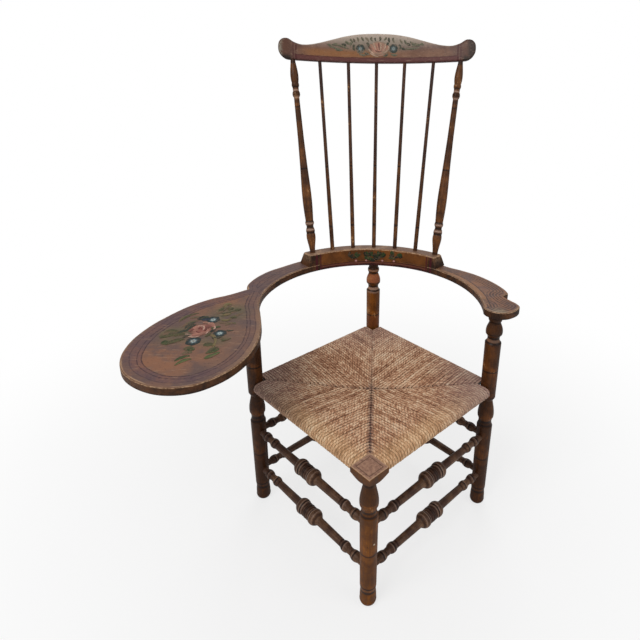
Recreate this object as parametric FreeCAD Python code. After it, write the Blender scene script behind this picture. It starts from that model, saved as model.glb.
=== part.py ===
import FreeCAD, Part
import os
from math import asin, atan2, cos, degrees, radians, sin, sqrt, tan

# A corner chair with a writing tablet and a tall comb back. Four turned legs stand on the
# corners of a square that is set on its point: one leg in front, one at each side and one behind.
# Lengths are millimetres, Z is up, the sitter faces -Y and the tablet is on the -X side.

os.makedirs("parts", exist_ok=True)

Vec = FreeCAD.Vector
UP = Vec(0, 0, 1)
ACROSS = Vec(1, 0, 0)

# The whole chair
corner_reach = 310.0        # middle of the seat to the axis of every leg
leg_radius = 20.2
seat_height = 398.6         # floor to the top of the front leg's square head
neck_drop = 48.6            # that top to the thin neck under the seat, on all four legs
arm_height = 634.0          # floor to the top of the arms and the tablet
arm_thickness = 19.0

# How pieces fit each other
fit_gap = 0.2               # round tenon to its mortise, all round
end_gap = 0.6               # end of a tenon to the bottom of its mortise
shoulder_gap = 0.25         # rail end to the round post beside it
rush_gap = 0.3              # woven seat to any wood
overrun = 3.0               # how far a cutting shape passes the surface it cuts
straight_angle = 0.01       # degrees: an arc that turns less is drawn as a line

# The front leg's square head
head_half = 29.2
head_neck_length = 10.0     # plain neck under the flare of the head
head_corner_height = 15.0   # upright edge at each corner of the head
head_face_height = 22.0     # upright face at the middle of each side
head_round = 1.2

# Round tenon on top of the three tall posts
post_tenon_radius = 9.5
post_tenon_length = 13.0

# Stretchers, two heights on each of the four sides
stretcher_heights = {"lower": 105.0, "upper": 234.0}
stretcher_radius = 20.6     # at the two big beads
stretcher_tenon_radius = 8.8
tenon_spacing = 0.4         # between two tenons that meet inside one leg

# Seat rails, hidden in the rush
rail_width = 28.0
rail_height = 18.0
rail_round = 8.0
rail_tenon_radius = 7.5

# Woven rush seat
cord_diameter = 6.0
seat_dip = 22.0             # how far the middle lies under the edge
seat_middle_thickness = 16.0

# The arms: a flat bow round the back half, wider at the hand, and the tablet
arm_centre_x = -4.0         # the bow's centre, from the middle of the seat
arm_centre_y = 4.0
arm_post_inset = 32.0       # inner edge of the bow to the posts' axes
arm_width = 66.0
arm_round = 2.5
arm_corner_round = 6.0      # where an arm's outer edge turns into its notch, seen from above
arm_notch_round = 4.0       # bottom of the notch
lap_half_angle = 7.0        # half-lap joint of the two arms, over the back post
tablet_width = 272.0
tablet_length = 437.0
tablet_inset = 41.0         # how far the tablet reaches inside the bow's inner edge
tablet_back = 51.0          # tablet's rear end behind the bow's centre

# The riser on top of the two arms
riser_height = 34.0
riser_half_angle = 41.0
riser_end_slope = 13.0
riser_top_width = 36.0
riser_base_width = 44.0
riser_base_lip = 8.0        # upright part of the back face, under its slope
riser_round = 3.0
riser_end_round = 7.0

# The comb: spindles and stiles in a fan between the riser and the crest
comb_height = 522.0         # top of the riser to the crest's lower edge at the middle
comb_rake = 12.0
spindle_inset = 18.0        # middle spindle's foot to the riser's inner face
spindle_row_flatness = 47.4 # how much larger the row's radius is than the bow's
spindle_row_step = 11.05    # angle from each foot to the next
spindle_count = 5
crest_pitch = 80.5          # crest, from one spindle to the next
crest_stile_reach = 234.5   # crest, from the middle to a stile
spindle_radius = 6.0
spindle_foot_depth = 18.0   # into the riser
stile_radius = 13.5
stile_foot_depth = 24.0
comb_tenon_length = 15.0    # into the crest

# The crest rail
crest_bend_radius = 746.0
crest_thickness = 17.0
crest_height = 78.0
crest_half_length = 268.0
crest_roll = 9.0            # how far the top edge rolls back
crest_back_roll_share = 0.5 # the back face rolls less than the front, so the top is thinner

# Worked out from the sizes above
neck_height = seat_height - neck_drop
arm_inner_radius = corner_reach - arm_post_inset
spindle_row_y = arm_centre_y + arm_inner_radius + spindle_inset
spindle_row_radius = arm_inner_radius + spindle_row_flatness
post_top = arm_height - arm_thickness
seat_side = corner_reach * sqrt(2)
rail_z = seat_height - cord_diameter - rush_gap - rail_height / 2
riser_top = arm_height + riser_height
rake = radians(comb_rake)
lap_overrun_angle = degrees(overrun / arm_inner_radius)

# Turnings. A run of one point is a straight line, of two points an arc and of more a smooth
# curve, each from the end of the run before it. A point is (share of length, share of radius).
lower_start_shares = (0.0, 0.64)
lower_run_shares = [
    [(0.012, 0.86), (0.05, 0.955)],
    [(0.075, 0.965), (0.100, 0.935), (0.126, 0.895), (0.145, 0.925), (0.162, 0.965)],
    [(0.768, 1.025)],
    [(0.815, 0.855), (0.851, 1.04)],
    [(0.876, 1.065), (0.915, 1.005), (0.958, 0.86), (1.0, 0.715)],
]
post_run_shares = [
    [(0.012, 0.80), (0.040, 1.0)],
    [(0.656, 1.03)],
    [(0.710, 0.76), (0.752, 1.03)],
    [(0.782, 1.055), (0.812, 1.0), (0.850, 0.82), (0.878, 0.69)],
    [(0.915, 0.86), (0.948, 0.70)],
    [(1.0, 0.70)],
]

# Top of the rush along the middle of a field: shares of the way to the rail and of the dip
rush_top_shares = [(0.25, 0.16), (0.55, 0.54), (0.85, 0.92)]

# Half a stretcher, from the leg's surface to its middle
stretcher_run_shares = [
    [(0.050, 0.425)],
    [(0.115, 0.60), (0.178, 0.425)],
    [(0.235, 0.44)],
    [(0.290, 0.62), (0.345, 0.455)],
    [(0.770, 0.505)],
    [(0.800, 0.60), (0.830, 0.83), (0.858, 0.97), (0.885, 1.0), (0.915, 0.95), (0.940, 0.84)],
    [(0.956, 0.90), (0.972, 0.85)],
    [(0.986, 0.905), (1.0, 0.915)],
]

stile_start_shares = (0.0, 0.56)
stile_run_shares = [
    [(0.030, 0.66), (0.060, 0.86), (0.088, 0.965), (0.105, 0.87)],
    [(0.120, 0.93), (0.134, 0.74)],
    [(0.144, 0.74)],
    [(0.156, 0.93), (0.169, 0.82)],
    [(0.215, 0.93), (0.285, 1.0), (0.36, 0.93), (0.45, 0.78)],
    [(0.60, 0.63)],
    [(0.805, 0.565)],
    [(0.822, 0.79), (0.838, 0.62)],
    [(0.855, 0.62)],
    [(0.867, 0.77), (0.879, 0.69)],
    [(0.910, 0.83), (0.940, 0.76), (0.972, 0.57), (1.0, 0.45)],
]
spindle_start_shares = (0.0, 0.97)
spindle_run_shares = [
    [(0.12, 1.0), (0.45, 0.86), (0.80, 0.80), (1.0, 0.80)],
]

# Outer edges of the arms: (degrees from the back, share of arm_width)
hand_outer_shares = [
    (0.0, 0.86), (20.0, 0.80), (36.0, 0.68), (43.6, 0.62), (51.3, 0.77), (58.2, 0.93),
    (66.0, 1.075), (74.1, 1.195), (79.0, 1.235), (81.6, 1.22),
]
hand_notch_share = (83.4, 0.94)
hand_lobe_shares = [
    (86.0, 1.0), (88.6, 1.14), (91.0, 1.28), (93.2, 1.34), (95.6, 1.26), (98.0, 1.08),
    (99.9, 0.87), (100.9, 0.65), (100.9, 0.43), (99.8, 0.21), (97.4, 0.03),
]
hand_inner_end = 93.5
writing_outer_shares = [
    (0.0, 0.86), (20.0, 0.86), (40.0, 0.84), (52.0, 0.87), (58.0, 0.945), (65.0, 0.98),
    (72.0, 0.965), (76.5, 0.915), (79.0, 0.84),
]
writing_notch_share = (80.6, 0.755)
writing_inner_end = 84.0

# The tablet's edge from the notch round the front: shares of its width, from the inner edge,
# and of its length, from the front
tablet_edge_shares = [
    (0.452, 0.929), (0.607, 0.863), (0.746, 0.773), (0.857, 0.661), (0.949, 0.533),
    (1.0, 0.350), (0.972, 0.230), (0.885, 0.125), (0.735, 0.048), (0.530, 0.006),
    (0.345, 0.022), (0.180, 0.098), (0.062, 0.218), (0.010, 0.375), (0.022, 0.520),
    (0.089, 0.700), (0.134, 0.800),
]

# The crest's upper edge over one half: shares of its half length and of its height
crest_top_shares = [
    (0.0, 1.0), (0.18, 0.968), (0.34, 0.87), (0.48, 0.73), (0.60, 0.605), (0.70, 0.525),
    (0.79, 0.505),
]
crest_ear_shares = [(0.865, 0.575), (0.925, 0.675), (0.98, 0.60), (1.0, 0.41), (0.975, 0.19)]
crest_ear_foot_share = (0.905, 0.0)


def shares_of(pairs, length, radius, base=0.0):
    """Heights and radii in millimetres from pairs of shares."""
    return [(base + z * length, r * radius) for z, r in pairs]


def run_edges(points):
    """One line, arc or smooth curve through a run of points."""
    if len(points) == 2:
        return Part.LineSegment(*points).toShape()
    if len(points) == 3:
        return Part.Arc(*points).toShape()
    curve = Part.BSplineCurve()
    curve.interpolate(points)
    return curve.toShape()


def turned(start, runs):
    """Solid of revolution about Z: runs of (height, radius) from the start to the top."""
    edges = []
    last = start
    for run in runs:
        points = [Vec(r, 0, z) for z, r in [last] + run]
        edges.append(run_edges(points))
        last = run[-1]
    top = Vec(0, 0, last[0])
    bottom = Vec(0, 0, start[0])
    edges.append(Part.LineSegment(Vec(last[1], 0, last[0]), top).toShape())
    edges.append(Part.LineSegment(top, bottom).toShape())
    edges.append(Part.LineSegment(bottom, Vec(start[1], 0, start[0])).toShape())
    face = Part.Face(Part.Wire(edges))
    return face.revolve(Vec(0, 0, 0), UP, 360)


def placed(shape, origin, direction):
    """Copy of a shape made along Z, standing on origin and pointing along direction."""
    copy = shape.copy()
    copy.Placement = FreeCAD.Placement(origin, FreeCAD.Rotation(UP, direction))
    return copy


def peg(origin, direction, radius, start, end):
    """Cylinder about the line from origin along direction, from start to end along it."""
    unit = Vec(direction)
    unit.normalize()
    return Part.makeCylinder(radius, end - start, origin + unit * start, unit)


def prism(outline, bottom, top):
    """Upright solid of a closed outline of edges drawn at the height of zero."""
    face = Part.Face(Part.Wire(outline))
    solid = face.extrude(UP * (top - bottom))
    solid.translate(UP * bottom)
    return solid


def corner(name):
    """Foot of a leg's axis on the floor."""
    places = {
        "front": Vec(0, -corner_reach, 0),
        "tablet": Vec(-corner_reach, 0, 0),
        "hand": Vec(corner_reach, 0, 0),
        "back": Vec(0, corner_reach, 0),
    }
    return places[name]


sides = [("front", "tablet"), ("front", "hand"), ("back", "tablet"), ("back", "hand")]


def leg_radius_at(height):
    """Radius of the long plain taper between the foot and the lower groove."""
    start_z, start_r = lower_run_shares[1][-1]
    end_z, end_r = lower_run_shares[2][-1]
    along = (height / neck_height - start_z) / (end_z - start_z)
    return leg_radius * (start_r + along * (end_r - start_r))


# Legs and posts

def lower_turning():
    """Start and runs of the turning that all four legs share, from the floor to the neck."""
    start = (lower_start_shares[0], lower_start_shares[1] * leg_radius)
    runs = [shares_of(run, neck_height, leg_radius) for run in lower_run_shares]
    return start, runs


def stretcher_tip():
    """Distance from a leg's axis to the end of each stretcher tenon in it."""
    return stretcher_tenon_radius + tenon_spacing


def rail_tip():
    """Distance from a leg's axis to the end of each rail tenon in it."""
    return rail_tenon_radius + tenon_spacing


def leg_sockets(name):
    """Mortises of one leg for its four stretchers and two seat rails."""
    foot = corner(name)
    reach = head_half * 2
    sockets = []
    for first, second in sides:
        if name not in (first, second):
            continue
        other = corner(second if name == first else first)
        for height in stretcher_heights.values():
            radius = stretcher_tenon_radius + fit_gap
            sockets.append(peg(foot + UP * height, other - foot, radius,
                               stretcher_tip() - end_gap / 2, reach))
        sockets.append(peg(foot + UP * rail_z, other - foot, rail_tenon_radius + fit_gap,
                           rail_tip() - end_gap / 2, reach))
    return sockets


def front_leg():
    """The short front leg, turned from a square blank whose top stays square."""
    start, runs = lower_turning()
    neck_z, neck_r = runs[-1][-1]
    corner_r = head_half * sqrt(2)
    corner_z = seat_height - head_corner_height
    face_z = seat_height - head_face_height
    slope = (corner_z - face_z) / (corner_r - head_half)
    blank_r = corner_r + overrun
    runs.append([(neck_z + head_neck_length, neck_r)])
    runs.append([(face_z, head_half), (corner_z + slope * overrun, blank_r)])
    runs.append([(seat_height, blank_r)])
    leg = turned(start, runs)
    square = Part.makeBox(head_half * 2, head_half * 2, seat_height,
                          Vec(-head_half, -head_half, 0))
    square.rotate(Vec(0, 0, 0), UP, 45)
    leg = leg.common(square)
    rim = [e for e in leg.Edges if min(v.Z for v in e.Vertexes) > seat_height - head_round / 2]
    leg = leg.makeFillet(head_round, rim)
    leg.translate(corner("front"))
    return leg.cut(leg_sockets("front"))


def tall_post(name):
    """One of the three posts that run through a corner of the seat up to the arms."""
    start, runs = lower_turning()
    runs += [shares_of(run, post_top - neck_height, leg_radius, neck_height)
             for run in post_run_shares]
    runs.append([(post_top, post_tenon_radius)])
    runs.append([(post_top + post_tenon_length, post_tenon_radius)])
    post = turned(start, runs)
    post.translate(corner(name))
    return post.cut(leg_sockets(name))


# Stretchers and rails

def stretcher(first, second, height):
    """A turned stretcher between two legs, the same from both ends."""
    half = seat_side / 2
    surface = leg_radius_at(height)
    visible = half - surface
    radius = stretcher_radius
    start = (stretcher_tip(), stretcher_tenon_radius)
    runs = [[(surface, stretcher_tenon_radius)]]
    runs += [shares_of(run, visible, radius, surface) for run in stretcher_run_shares]
    half_piece = turned(start, runs)
    mirrored = half_piece.mirror(Vec(0, 0, half), UP)
    whole = half_piece.fuse(mirrored).removeSplitter()
    foot = corner(first) + UP * height
    return placed(whole, foot, corner(second) - corner(first))


def rail_section(grow):
    """Rounded rectangle of a seat rail, across the rail, made larger all round by grow."""
    wide = rail_width / 2 + grow
    tall = rail_height / 2 + grow
    bend = rail_round + grow
    k = bend * (1 - sqrt(0.5))
    edges = []
    for sx, sz in ((1, 1), (-1, 1), (-1, -1), (1, -1)):
        side = Vec(sx * wide, sz * (tall - bend), 0)
        middle = Vec(sx * (wide - k), sz * (tall - k), 0)
        flat = Vec(sx * (wide - bend), sz * tall, 0)
        ends = (side, middle, flat) if sx * sz > 0 else (flat, middle, side)
        edges.append(Part.Arc(*ends).toShape())
    wire = []
    for index, edge in enumerate(edges):
        following = edges[(index + 1) % len(edges)]
        wire.append(edge)
        wire.append(Part.LineSegment(edge.Vertexes[1].Point, following.Vertexes[0].Point).toShape())
    return Part.Face(Part.Wire(wire))


def rail_end(name):
    """Distance from a leg's axis to the end of the rail beside it."""
    if name == "front":
        return head_half
    return leg_radius * post_run_shares[1][-1][1] + shoulder_gap


def rail_bar(first, second, grow):
    """The shaped part of a rail, between the two legs."""
    start = rail_end(first) - grow
    length = seat_side - rail_end(first) - rail_end(second) + 2 * grow
    bar = rail_section(grow).extrude(UP * length)
    line = corner(second) - corner(first)
    line.normalize()
    out = UP.cross(line)
    bar.Placement = FreeCAD.Placement(corner(first) + UP * rail_z + line * start,
                                      FreeCAD.Rotation(out, UP, line, "ZXY"))
    return bar


def seat_rail(first, second):
    """A seat rail with a round tenon at each end."""
    tenon = peg(corner(first) + UP * rail_z, corner(second) - corner(first),
                rail_tenon_radius, rail_tip(), seat_side - rail_tip())
    return rail_bar(first, second, 0.0).fuse(tenon).removeSplitter()


# The woven seat

def rush_field():
    """One of the four triangles of rush, before it is turned to its side of the seat."""
    edge_r = rail_height / 2 + cord_diameter + rush_gap
    rail_line = seat_side / 2
    tip_x = rail_line + rail_width / 2 + cord_diameter + rush_gap
    round_x = tip_x - edge_r
    top = rail_z + edge_r
    bottom = rail_z - edge_r
    middle_top = top - seat_dip
    middle_bottom = middle_top - seat_middle_thickness
    upper = [Vec(0, 0, middle_top)]
    upper += [Vec(rail_line * out, 0, middle_top + seat_dip * up) for out, up in rush_top_shares]
    upper.append(Vec(round_x, 0, top))
    edges = [run_edges(upper)]
    edges.append(Part.Arc(upper[-1], Vec(tip_x, 0, rail_z), Vec(round_x, 0, bottom)).toShape())
    edges.append(Part.LineSegment(Vec(round_x, 0, bottom), Vec(0, 0, middle_bottom)).toShape())
    edges.append(Part.LineSegment(Vec(0, 0, middle_bottom), upper[0]).toShape())
    profile = Part.Face(Part.Wire(edges))
    profile.translate(Vec(0, -tip_x, 0))
    run = profile.extrude(Vec(0, 2 * tip_x, 0))
    far = tip_x + overrun
    triangle = Part.makePolygon([Vec(0, 0, 0), Vec(far, far, 0), Vec(far, -far, 0), Vec(0, 0, 0)])
    wedge = Part.Face(triangle).extrude(UP * (seat_height + overrun))
    return run.common(wedge)


def rush_seat():
    """The rush seat: four fields that meet on the diagonals, open round posts and rails."""
    field = rush_field()
    seat = None
    for quarter in range(4):
        turned_field = field.copy()
        turned_field.rotate(Vec(0, 0, 0), UP, 45 + 90 * quarter)
        seat = turned_field if seat is None else seat.fuse(turned_field)
    seat = seat.removeSplitter()
    cutters = []
    for name in ("front", "tablet", "hand", "back"):
        half = rail_end(name) - shoulder_gap + rush_gap
        if name == "front":
            half = head_half + rush_gap
        notch = Part.makeBox(half * 2, half * 2, seat_height + overrun, Vec(-half, -half, 0))
        notch.rotate(Vec(0, 0, 0), UP, 45)
        notch.translate(corner(name))
        cutters.append(notch)
    for first, second in sides:
        cutters.append(rail_bar(first, second, rush_gap))
    return seat.cut(cutters)


# Arms, tablet and riser

def bow_point(angle, radius):
    """Point of the bow at an angle from the back, positive toward the hand side."""
    turn = radians(angle)
    return Vec(arm_centre_x + radius * sin(turn), arm_centre_y + radius * cos(turn), 0)


def bow_arc(start, end, radius):
    """Arc of the bow between two angles."""
    middle = (start + end) / 2
    return Part.Arc(bow_point(start, radius), bow_point(middle, radius),
                    bow_point(end, radius)).toShape()


def edge_points(shares, sign):
    """Points of an arm's outer edge, on the hand side for +1 and the tablet side for -1."""
    return [bow_point(sign * angle, arm_inner_radius + share * arm_width)
            for angle, share in shares]


def flat_arc(start, end, direction):
    """Arc, or line, between two level points that leaves the start along a unit direction."""
    chord = end - start
    along = Vec(chord)
    along.normalize()
    turn = atan2(along.x * direction.y - along.y * direction.x, along.dot(direction))
    middle = (start + end) / 2 + UP.cross(chord) / 2 * tan(turn / 2)
    if abs(turn) < radians(straight_angle):
        return Part.LineSegment(start, end).toShape()
    return Part.Arc(start, middle, end).toShape()


def arc_pair(start, leaving, end, arriving):
    """Two arcs between two level points that meet both unit directions and each other."""
    chord = end - start
    both = leaving + arriving
    bend = 2 * (1 - leaving.dot(arriving))
    across = chord.dot(both)
    if bend < radians(straight_angle) ** 2:
        reach = chord.dot(chord) / (2 * across)
    else:
        reach = (sqrt(across ** 2 + bend * chord.dot(chord)) - across) / bend
    middle = (start + end + (leaving - arriving) * reach) / 2
    back = (end - middle)
    back.normalize()
    first = flat_arc(start, middle, leaving)
    meeting = middle - start
    meeting.normalize()
    meeting = meeting * (2 * meeting.dot(leaving)) - leaving
    return [first, flat_arc(middle, end, meeting)]


def turning_point(before, here, after):
    """Direction at a point of the circle through it and its two neighbours."""
    first = here - before
    second = after - here
    share = first.Length / (first.Length + second.Length)
    first.normalize()
    second.normalize()
    turn = atan2(first.x * second.y - first.y * second.x, first.dot(second)) * share
    return Vec(first.x * cos(turn) - first.y * sin(turn),
               first.x * sin(turn) + first.y * cos(turn), 0)


def arc_chain(points, departure=None, arrival=None):
    """Smooth chain of arcs through level points, with the directions at its ends if given."""
    directions = [turning_point(*points[k - 1:k + 2]) for k in range(1, len(points) - 1)]
    ends = []
    for tip, inner, direction in ((points[0], points[1], directions[0]),
                                  (points[-1], points[-2], directions[-1])):
        span = inner - tip
        span.normalize()
        ends.append(span * (2 * span.dot(direction)) - direction)
    directions = [departure or ends[0]] + directions + [arrival or ends[1]]
    edges = []
    for k in range(len(points) - 1):
        edges += arc_pair(points[k], directions[k], points[k + 1], directions[k + 1])
    return edges


def eased_corner(board, place, radius):
    """Board with the upright edge at one place of its outline rounded."""
    upright = [e for e in board.Edges if e.BoundBox.ZLength > arm_thickness / 2
               and (e.CenterOfMass - place).cross(UP).Length < fit_gap]
    return board.makeFillet(radius, upright)


def arm_board(sign, outer_shares, notch_share, rest, inner_angle):
    """An arm: a flat bow with a notch, then the hand rest or tablet, back to the bow.

    The outer edge starts at the lap joint and ends at a corner beside the notch. The rest of
    the outline is a list of points after the notch, and it meets the inner edge smoothly.
    """
    outer = edge_points([(-lap_half_angle, outer_shares[0][1])] + outer_shares[1:], sign)
    notch = edge_points([notch_share], sign)[0]
    inner_end = bow_point(sign * inner_angle, arm_inner_radius)
    lap_end = bow_point(-sign * lap_half_angle, arm_inner_radius)
    turn = radians(inner_angle)
    arrival = Vec(-sign * cos(turn), sin(turn), 0)
    outline = arc_chain(outer)
    outline.append(Part.LineSegment(outer[-1], notch).toShape())
    outline += arc_chain([notch] + rest + [inner_end], arrival=arrival)
    outline.append(bow_arc(sign * inner_angle, -sign * lap_half_angle, arm_inner_radius))
    outline.append(Part.LineSegment(lap_end, outer[0]).toShape())
    board = prism(outline, post_top, arm_height)
    board = eased_corner(board, outer[-1], arm_corner_round)
    board = eased_corner(board, notch, arm_notch_round)
    rims = [e for e in board.Edges if e.BoundBox.ZLength < arm_round / 2]
    return board.makeFillet(arm_round, rims)


def half_lap(sign, lower_half):
    """The half of the arms' thickness that is cut away over the back post."""
    inner = arm_inner_radius - overrun
    outer = arm_inner_radius + arm_width + overrun
    start = -sign * (lap_half_angle + lap_overrun_angle)
    end = sign * lap_half_angle
    outline = [bow_arc(start, end, inner),
               Part.LineSegment(bow_point(end, inner), bow_point(end, outer)).toShape(),
               bow_arc(end, start, outer),
               Part.LineSegment(bow_point(start, outer), bow_point(start, inner)).toShape()]
    middle = post_top + arm_thickness / 2
    if lower_half:
        return prism(outline, post_top - overrun, middle)
    return prism(outline, middle, arm_height + overrun)


def post_sockets(names):
    """Blind holes in the underside of an arm for the posts' tenons."""
    depth = post_tenon_length + end_gap
    return [peg(corner(name) + UP * post_top, UP, post_tenon_radius + fit_gap, -overrun, depth)
            for name in names]


def hand_arm():
    """The plain arm: it widens to a hand rest with a notch and a rounded lobe."""
    lobe = edge_points(hand_lobe_shares, 1)
    board = arm_board(1, hand_outer_shares, hand_notch_share, lobe, hand_inner_end)
    return board.cut([half_lap(1, True)] + post_sockets(["hand", "back"]))


def writing_arm():
    """The other arm, which widens past a notch into the tear-shaped writing tablet."""
    inner_x = arm_centre_x - arm_inner_radius + tablet_inset
    front_y = arm_centre_y + tablet_back - tablet_length
    rim = [Vec(inner_x - u * tablet_width, front_y + v * tablet_length, 0)
           for u, v in tablet_edge_shares]
    board = arm_board(-1, writing_outer_shares, writing_notch_share, rim, writing_inner_end)
    return board.cut([half_lap(-1, False)] + post_sockets(["tablet", "back"]))


def arm_riser():
    """The curved block that covers the arms' joint and carries the comb."""
    inner = arm_inner_radius
    corners = [Vec(inner, 0, arm_height), Vec(inner, 0, riser_top),
               Vec(inner + riser_top_width, 0, riser_top),
               Vec(inner + riser_base_width, 0, arm_height + riser_base_lip),
               Vec(inner + riser_base_width, 0, arm_height)]
    section = Part.Face(Part.makePolygon(corners + corners[:1]))
    spread = riser_half_angle
    section.rotate(Vec(0, 0, 0), UP, 90 - spread)
    block = section.revolve(Vec(0, 0, 0), UP, 2 * spread)
    reach = inner + riser_base_width
    for sign in (1, -1):
        waste = Part.makeBox(reach, reach * 2, reach, Vec(0, 0, 0))
        waste.rotate(Vec(0, 0, 0), Vec(0, 1, 0), -riser_end_slope)
        if sign < 0:
            waste = waste.mirror(Vec(0, 0, 0), ACROSS)
        waste.rotate(Vec(0, 0, 0), UP, -sign * spread)
        waste.translate(UP * arm_height)
        block = block.cut(waste)
    ends = [e for e in block.Edges if e.BoundBox.ZMin > riser_top - riser_round / 2
            and len(e.Vertexes) == 2 and isinstance(e.Curve, Part.Line)]
    block = block.makeFillet(riser_end_round, ends)
    rims = [e for e in block.Edges if e.BoundBox.ZMin > riser_top - riser_round / 2
            and isinstance(e.Curve, Part.Circle)]
    block = block.makeFillet(riser_round, rims)
    block.translate(Vec(arm_centre_x, arm_centre_y, 0))
    sockets = []
    for place in comb_places():
        line = place["head"] - place["foot"]
        sockets.append(peg(place["foot"], line, place["foot_radius"] + fit_gap,
                           -place["foot_depth"] - end_gap, overrun * 2))
    return block.cut(sockets)


# The comb

def crest_frame():
    """Middle of the crest's lower edge, and the directions out of its back and up it."""
    bottom = Vec(0, spindle_row_y + comb_height * tan(rake), riser_top + comb_height)
    return bottom, Vec(0, cos(rake), -sin(rake)), Vec(0, sin(rake), cos(rake))


def crest_point(across, up):
    """Point on the crest's middle surface."""
    bottom, behind, upward = crest_frame()
    forward = crest_bend_radius - sqrt(crest_bend_radius ** 2 - across ** 2)
    return bottom + ACROSS * across - behind * forward + upward * up


def comb_places():
    """Foot, head and tenon sizes of the two stiles and the spindles, from the tablet side."""
    centre_y = spindle_row_y - spindle_row_radius
    middle = (spindle_count + 1) / 2
    places = []
    for index in range(spindle_count + 2):
        step = index - middle
        stile = index in (0, spindle_count + 1)
        turn = radians(step * spindle_row_step)
        foot = Vec(spindle_row_radius * sin(turn), centre_y + spindle_row_radius * cos(turn),
                   riser_top)
        across = step * crest_pitch
        if stile:
            across = crest_stile_reach if step > 0 else -crest_stile_reach
        start_share = stile_start_shares if stile else spindle_start_shares
        runs_shares = stile_run_shares if stile else spindle_run_shares
        radius = stile_radius if stile else spindle_radius
        places.append({
            "foot": foot,
            "head": crest_point(across, 0),
            "foot_depth": stile_foot_depth if stile else spindle_foot_depth,
            "foot_radius": start_share[1] * radius,
            "head_radius": runs_shares[-1][-1][1] * radius,
            "runs_shares": runs_shares,
            "radius": radius,
            "stile": stile,
        })
    return places


def comb_member(place):
    """A turned stile or spindle whose plain ends go straight into the riser and the crest."""
    line = place["head"] - place["foot"]
    length = line.Length
    runs = [[(0.0, place["foot_radius"])]]
    runs += [shares_of(run, length, place["radius"]) for run in place["runs_shares"]]
    runs.append([(length + comb_tenon_length, place["head_radius"])])
    start = (-place["foot_depth"], place["foot_radius"])
    return placed(turned(start, runs), place["foot"], line)


def crest_outline():
    """Closed outline of the crest as it would lie flat, in X and Z, one ear mirrored."""
    def at(share, sign):
        return Vec(sign * share[0] * crest_half_length, 0, share[1] * crest_height)
    top = [at(s, -1) for s in reversed(crest_top_shares + crest_ear_shares)]
    top += [at(s, 1) for s in crest_top_shares[1:] + crest_ear_shares]
    left = at(crest_ear_foot_share, -1)
    right = at(crest_ear_foot_share, 1)
    points = [left] + top + [right]
    return [run_edges(points), Part.LineSegment(right, left).toShape()]


def crest_face(radius, roll):
    """Arc up one face of the crest: it rolls back from its lower edge to its top."""
    heights = [-overrun, crest_height / 2, crest_height + overrun]
    return Part.Arc(*[Vec(radius + roll * (z / crest_height) ** 2, 0, z)
                      for z in heights]).toShape()


def crest_rail():
    """The bent crest: a curved slab whose top rolls back, trimmed to the humped outline."""
    half = crest_thickness / 2
    bend = crest_bend_radius
    front = crest_face(bend - half, crest_roll)
    back = crest_face(bend + half, crest_roll * crest_back_roll_share)
    edges = [front, Part.LineSegment(front.Vertexes[1].Point, back.Vertexes[1].Point).toShape(),
             back, Part.LineSegment(back.Vertexes[0].Point, front.Vertexes[0].Point).toShape()]
    spread = degrees(asin((crest_half_length + overrun) / (bend - half)))
    section = Part.Face(Part.Wire(edges))
    section.rotate(Vec(0, 0, 0), UP, 90 - spread)
    slab = section.revolve(Vec(0, 0, 0), UP, 2 * spread)
    slab.translate(Vec(0, -bend, 0))
    board = Part.Face(Part.Wire(crest_outline()))
    depth = crest_half_length
    board.translate(Vec(0, -depth, 0))
    crest = slab.common(board.extrude(Vec(0, depth * 2, 0)))
    crest.Placement = FreeCAD.Placement(crest_frame()[0], FreeCAD.Rotation(ACROSS, -comb_rake))
    sockets = []
    for place in comb_places():
        line = place["head"] - place["foot"]
        sockets.append(peg(place["head"], line, place["head_radius"] + fit_gap,
                           -overrun * 2, comb_tenon_length + end_gap))
    return crest.cut(sockets)


def build():
    """All pieces of the chair by node name, about the middle of the seat."""
    pieces = {"front_leg": front_leg()}
    for name in ("tablet", "hand", "back"):
        pieces[name + "_post"] = tall_post(name)
    for first, second in sides:
        pieces[first + "_" + second + "_seat_rail"] = seat_rail(first, second)
        for level, height in stretcher_heights.items():
            pieces[first + "_" + second + "_" + level + "_stretcher"] = stretcher(first, second,
                                                                                  height)
    pieces["rush_seat"] = rush_seat()
    pieces["writing_arm"] = writing_arm()
    pieces["hand_arm"] = hand_arm()
    pieces["arm_riser"] = arm_riser()
    number = 0
    for index, place in enumerate(comb_places()):
        if place["stile"]:
            name = "tablet_stile" if index == 0 else "hand_stile"
        else:
            number += 1
            name = "spindle_" + str(number)
        pieces[name] = comb_member(place)
    pieces["crest_rail"] = crest_rail()
    return pieces


def main():
    """Write each piece, with the origin on the floor under the middle of the whole chair."""
    pieces = build()
    box = Part.makeCompound(list(pieces.values())).optimalBoundingBox(False)
    origin = Vec((box.XMin + box.XMax) / 2, (box.YMin + box.YMax) / 2, box.ZMin)
    print("chair box", [round(v, 2) for v in (box.XLength, box.YLength, box.ZLength)])
    print("seat middle from origin", round(-origin.x, 3), round(-origin.y, 3))
    for name, shape in pieces.items():
        shape.translate(origin * -1)
        solids = len(shape.Solids)
        print(name, shape.ShapeType, "solids", solids, "valid", shape.isValid(),
              "cm3", round(shape.Volume / 1000, 2))
        if solids == 1:
            shape = shape.Solids[0]
        shape.exportStep("parts/" + name + ".step")


main()
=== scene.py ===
# %% [markdown]
# A corner chair with a writing arm. One leg stands in front, one at each side and one behind,
# a rush seat is woven between them, and a flat bow carries a writing tablet, a hand rest and a
# comb of thin spindles. The solid model comes in first, because it fixes every size and place.
# The cells after it dress that model: turned wood, woven rush, worn paint and painted flowers.

# %% Load the solid model
from math import cos, pi, radians, sin, sqrt, tan
import bpy
import bmesh
import numpy as np
from mathutils import Matrix, Vector


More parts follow.
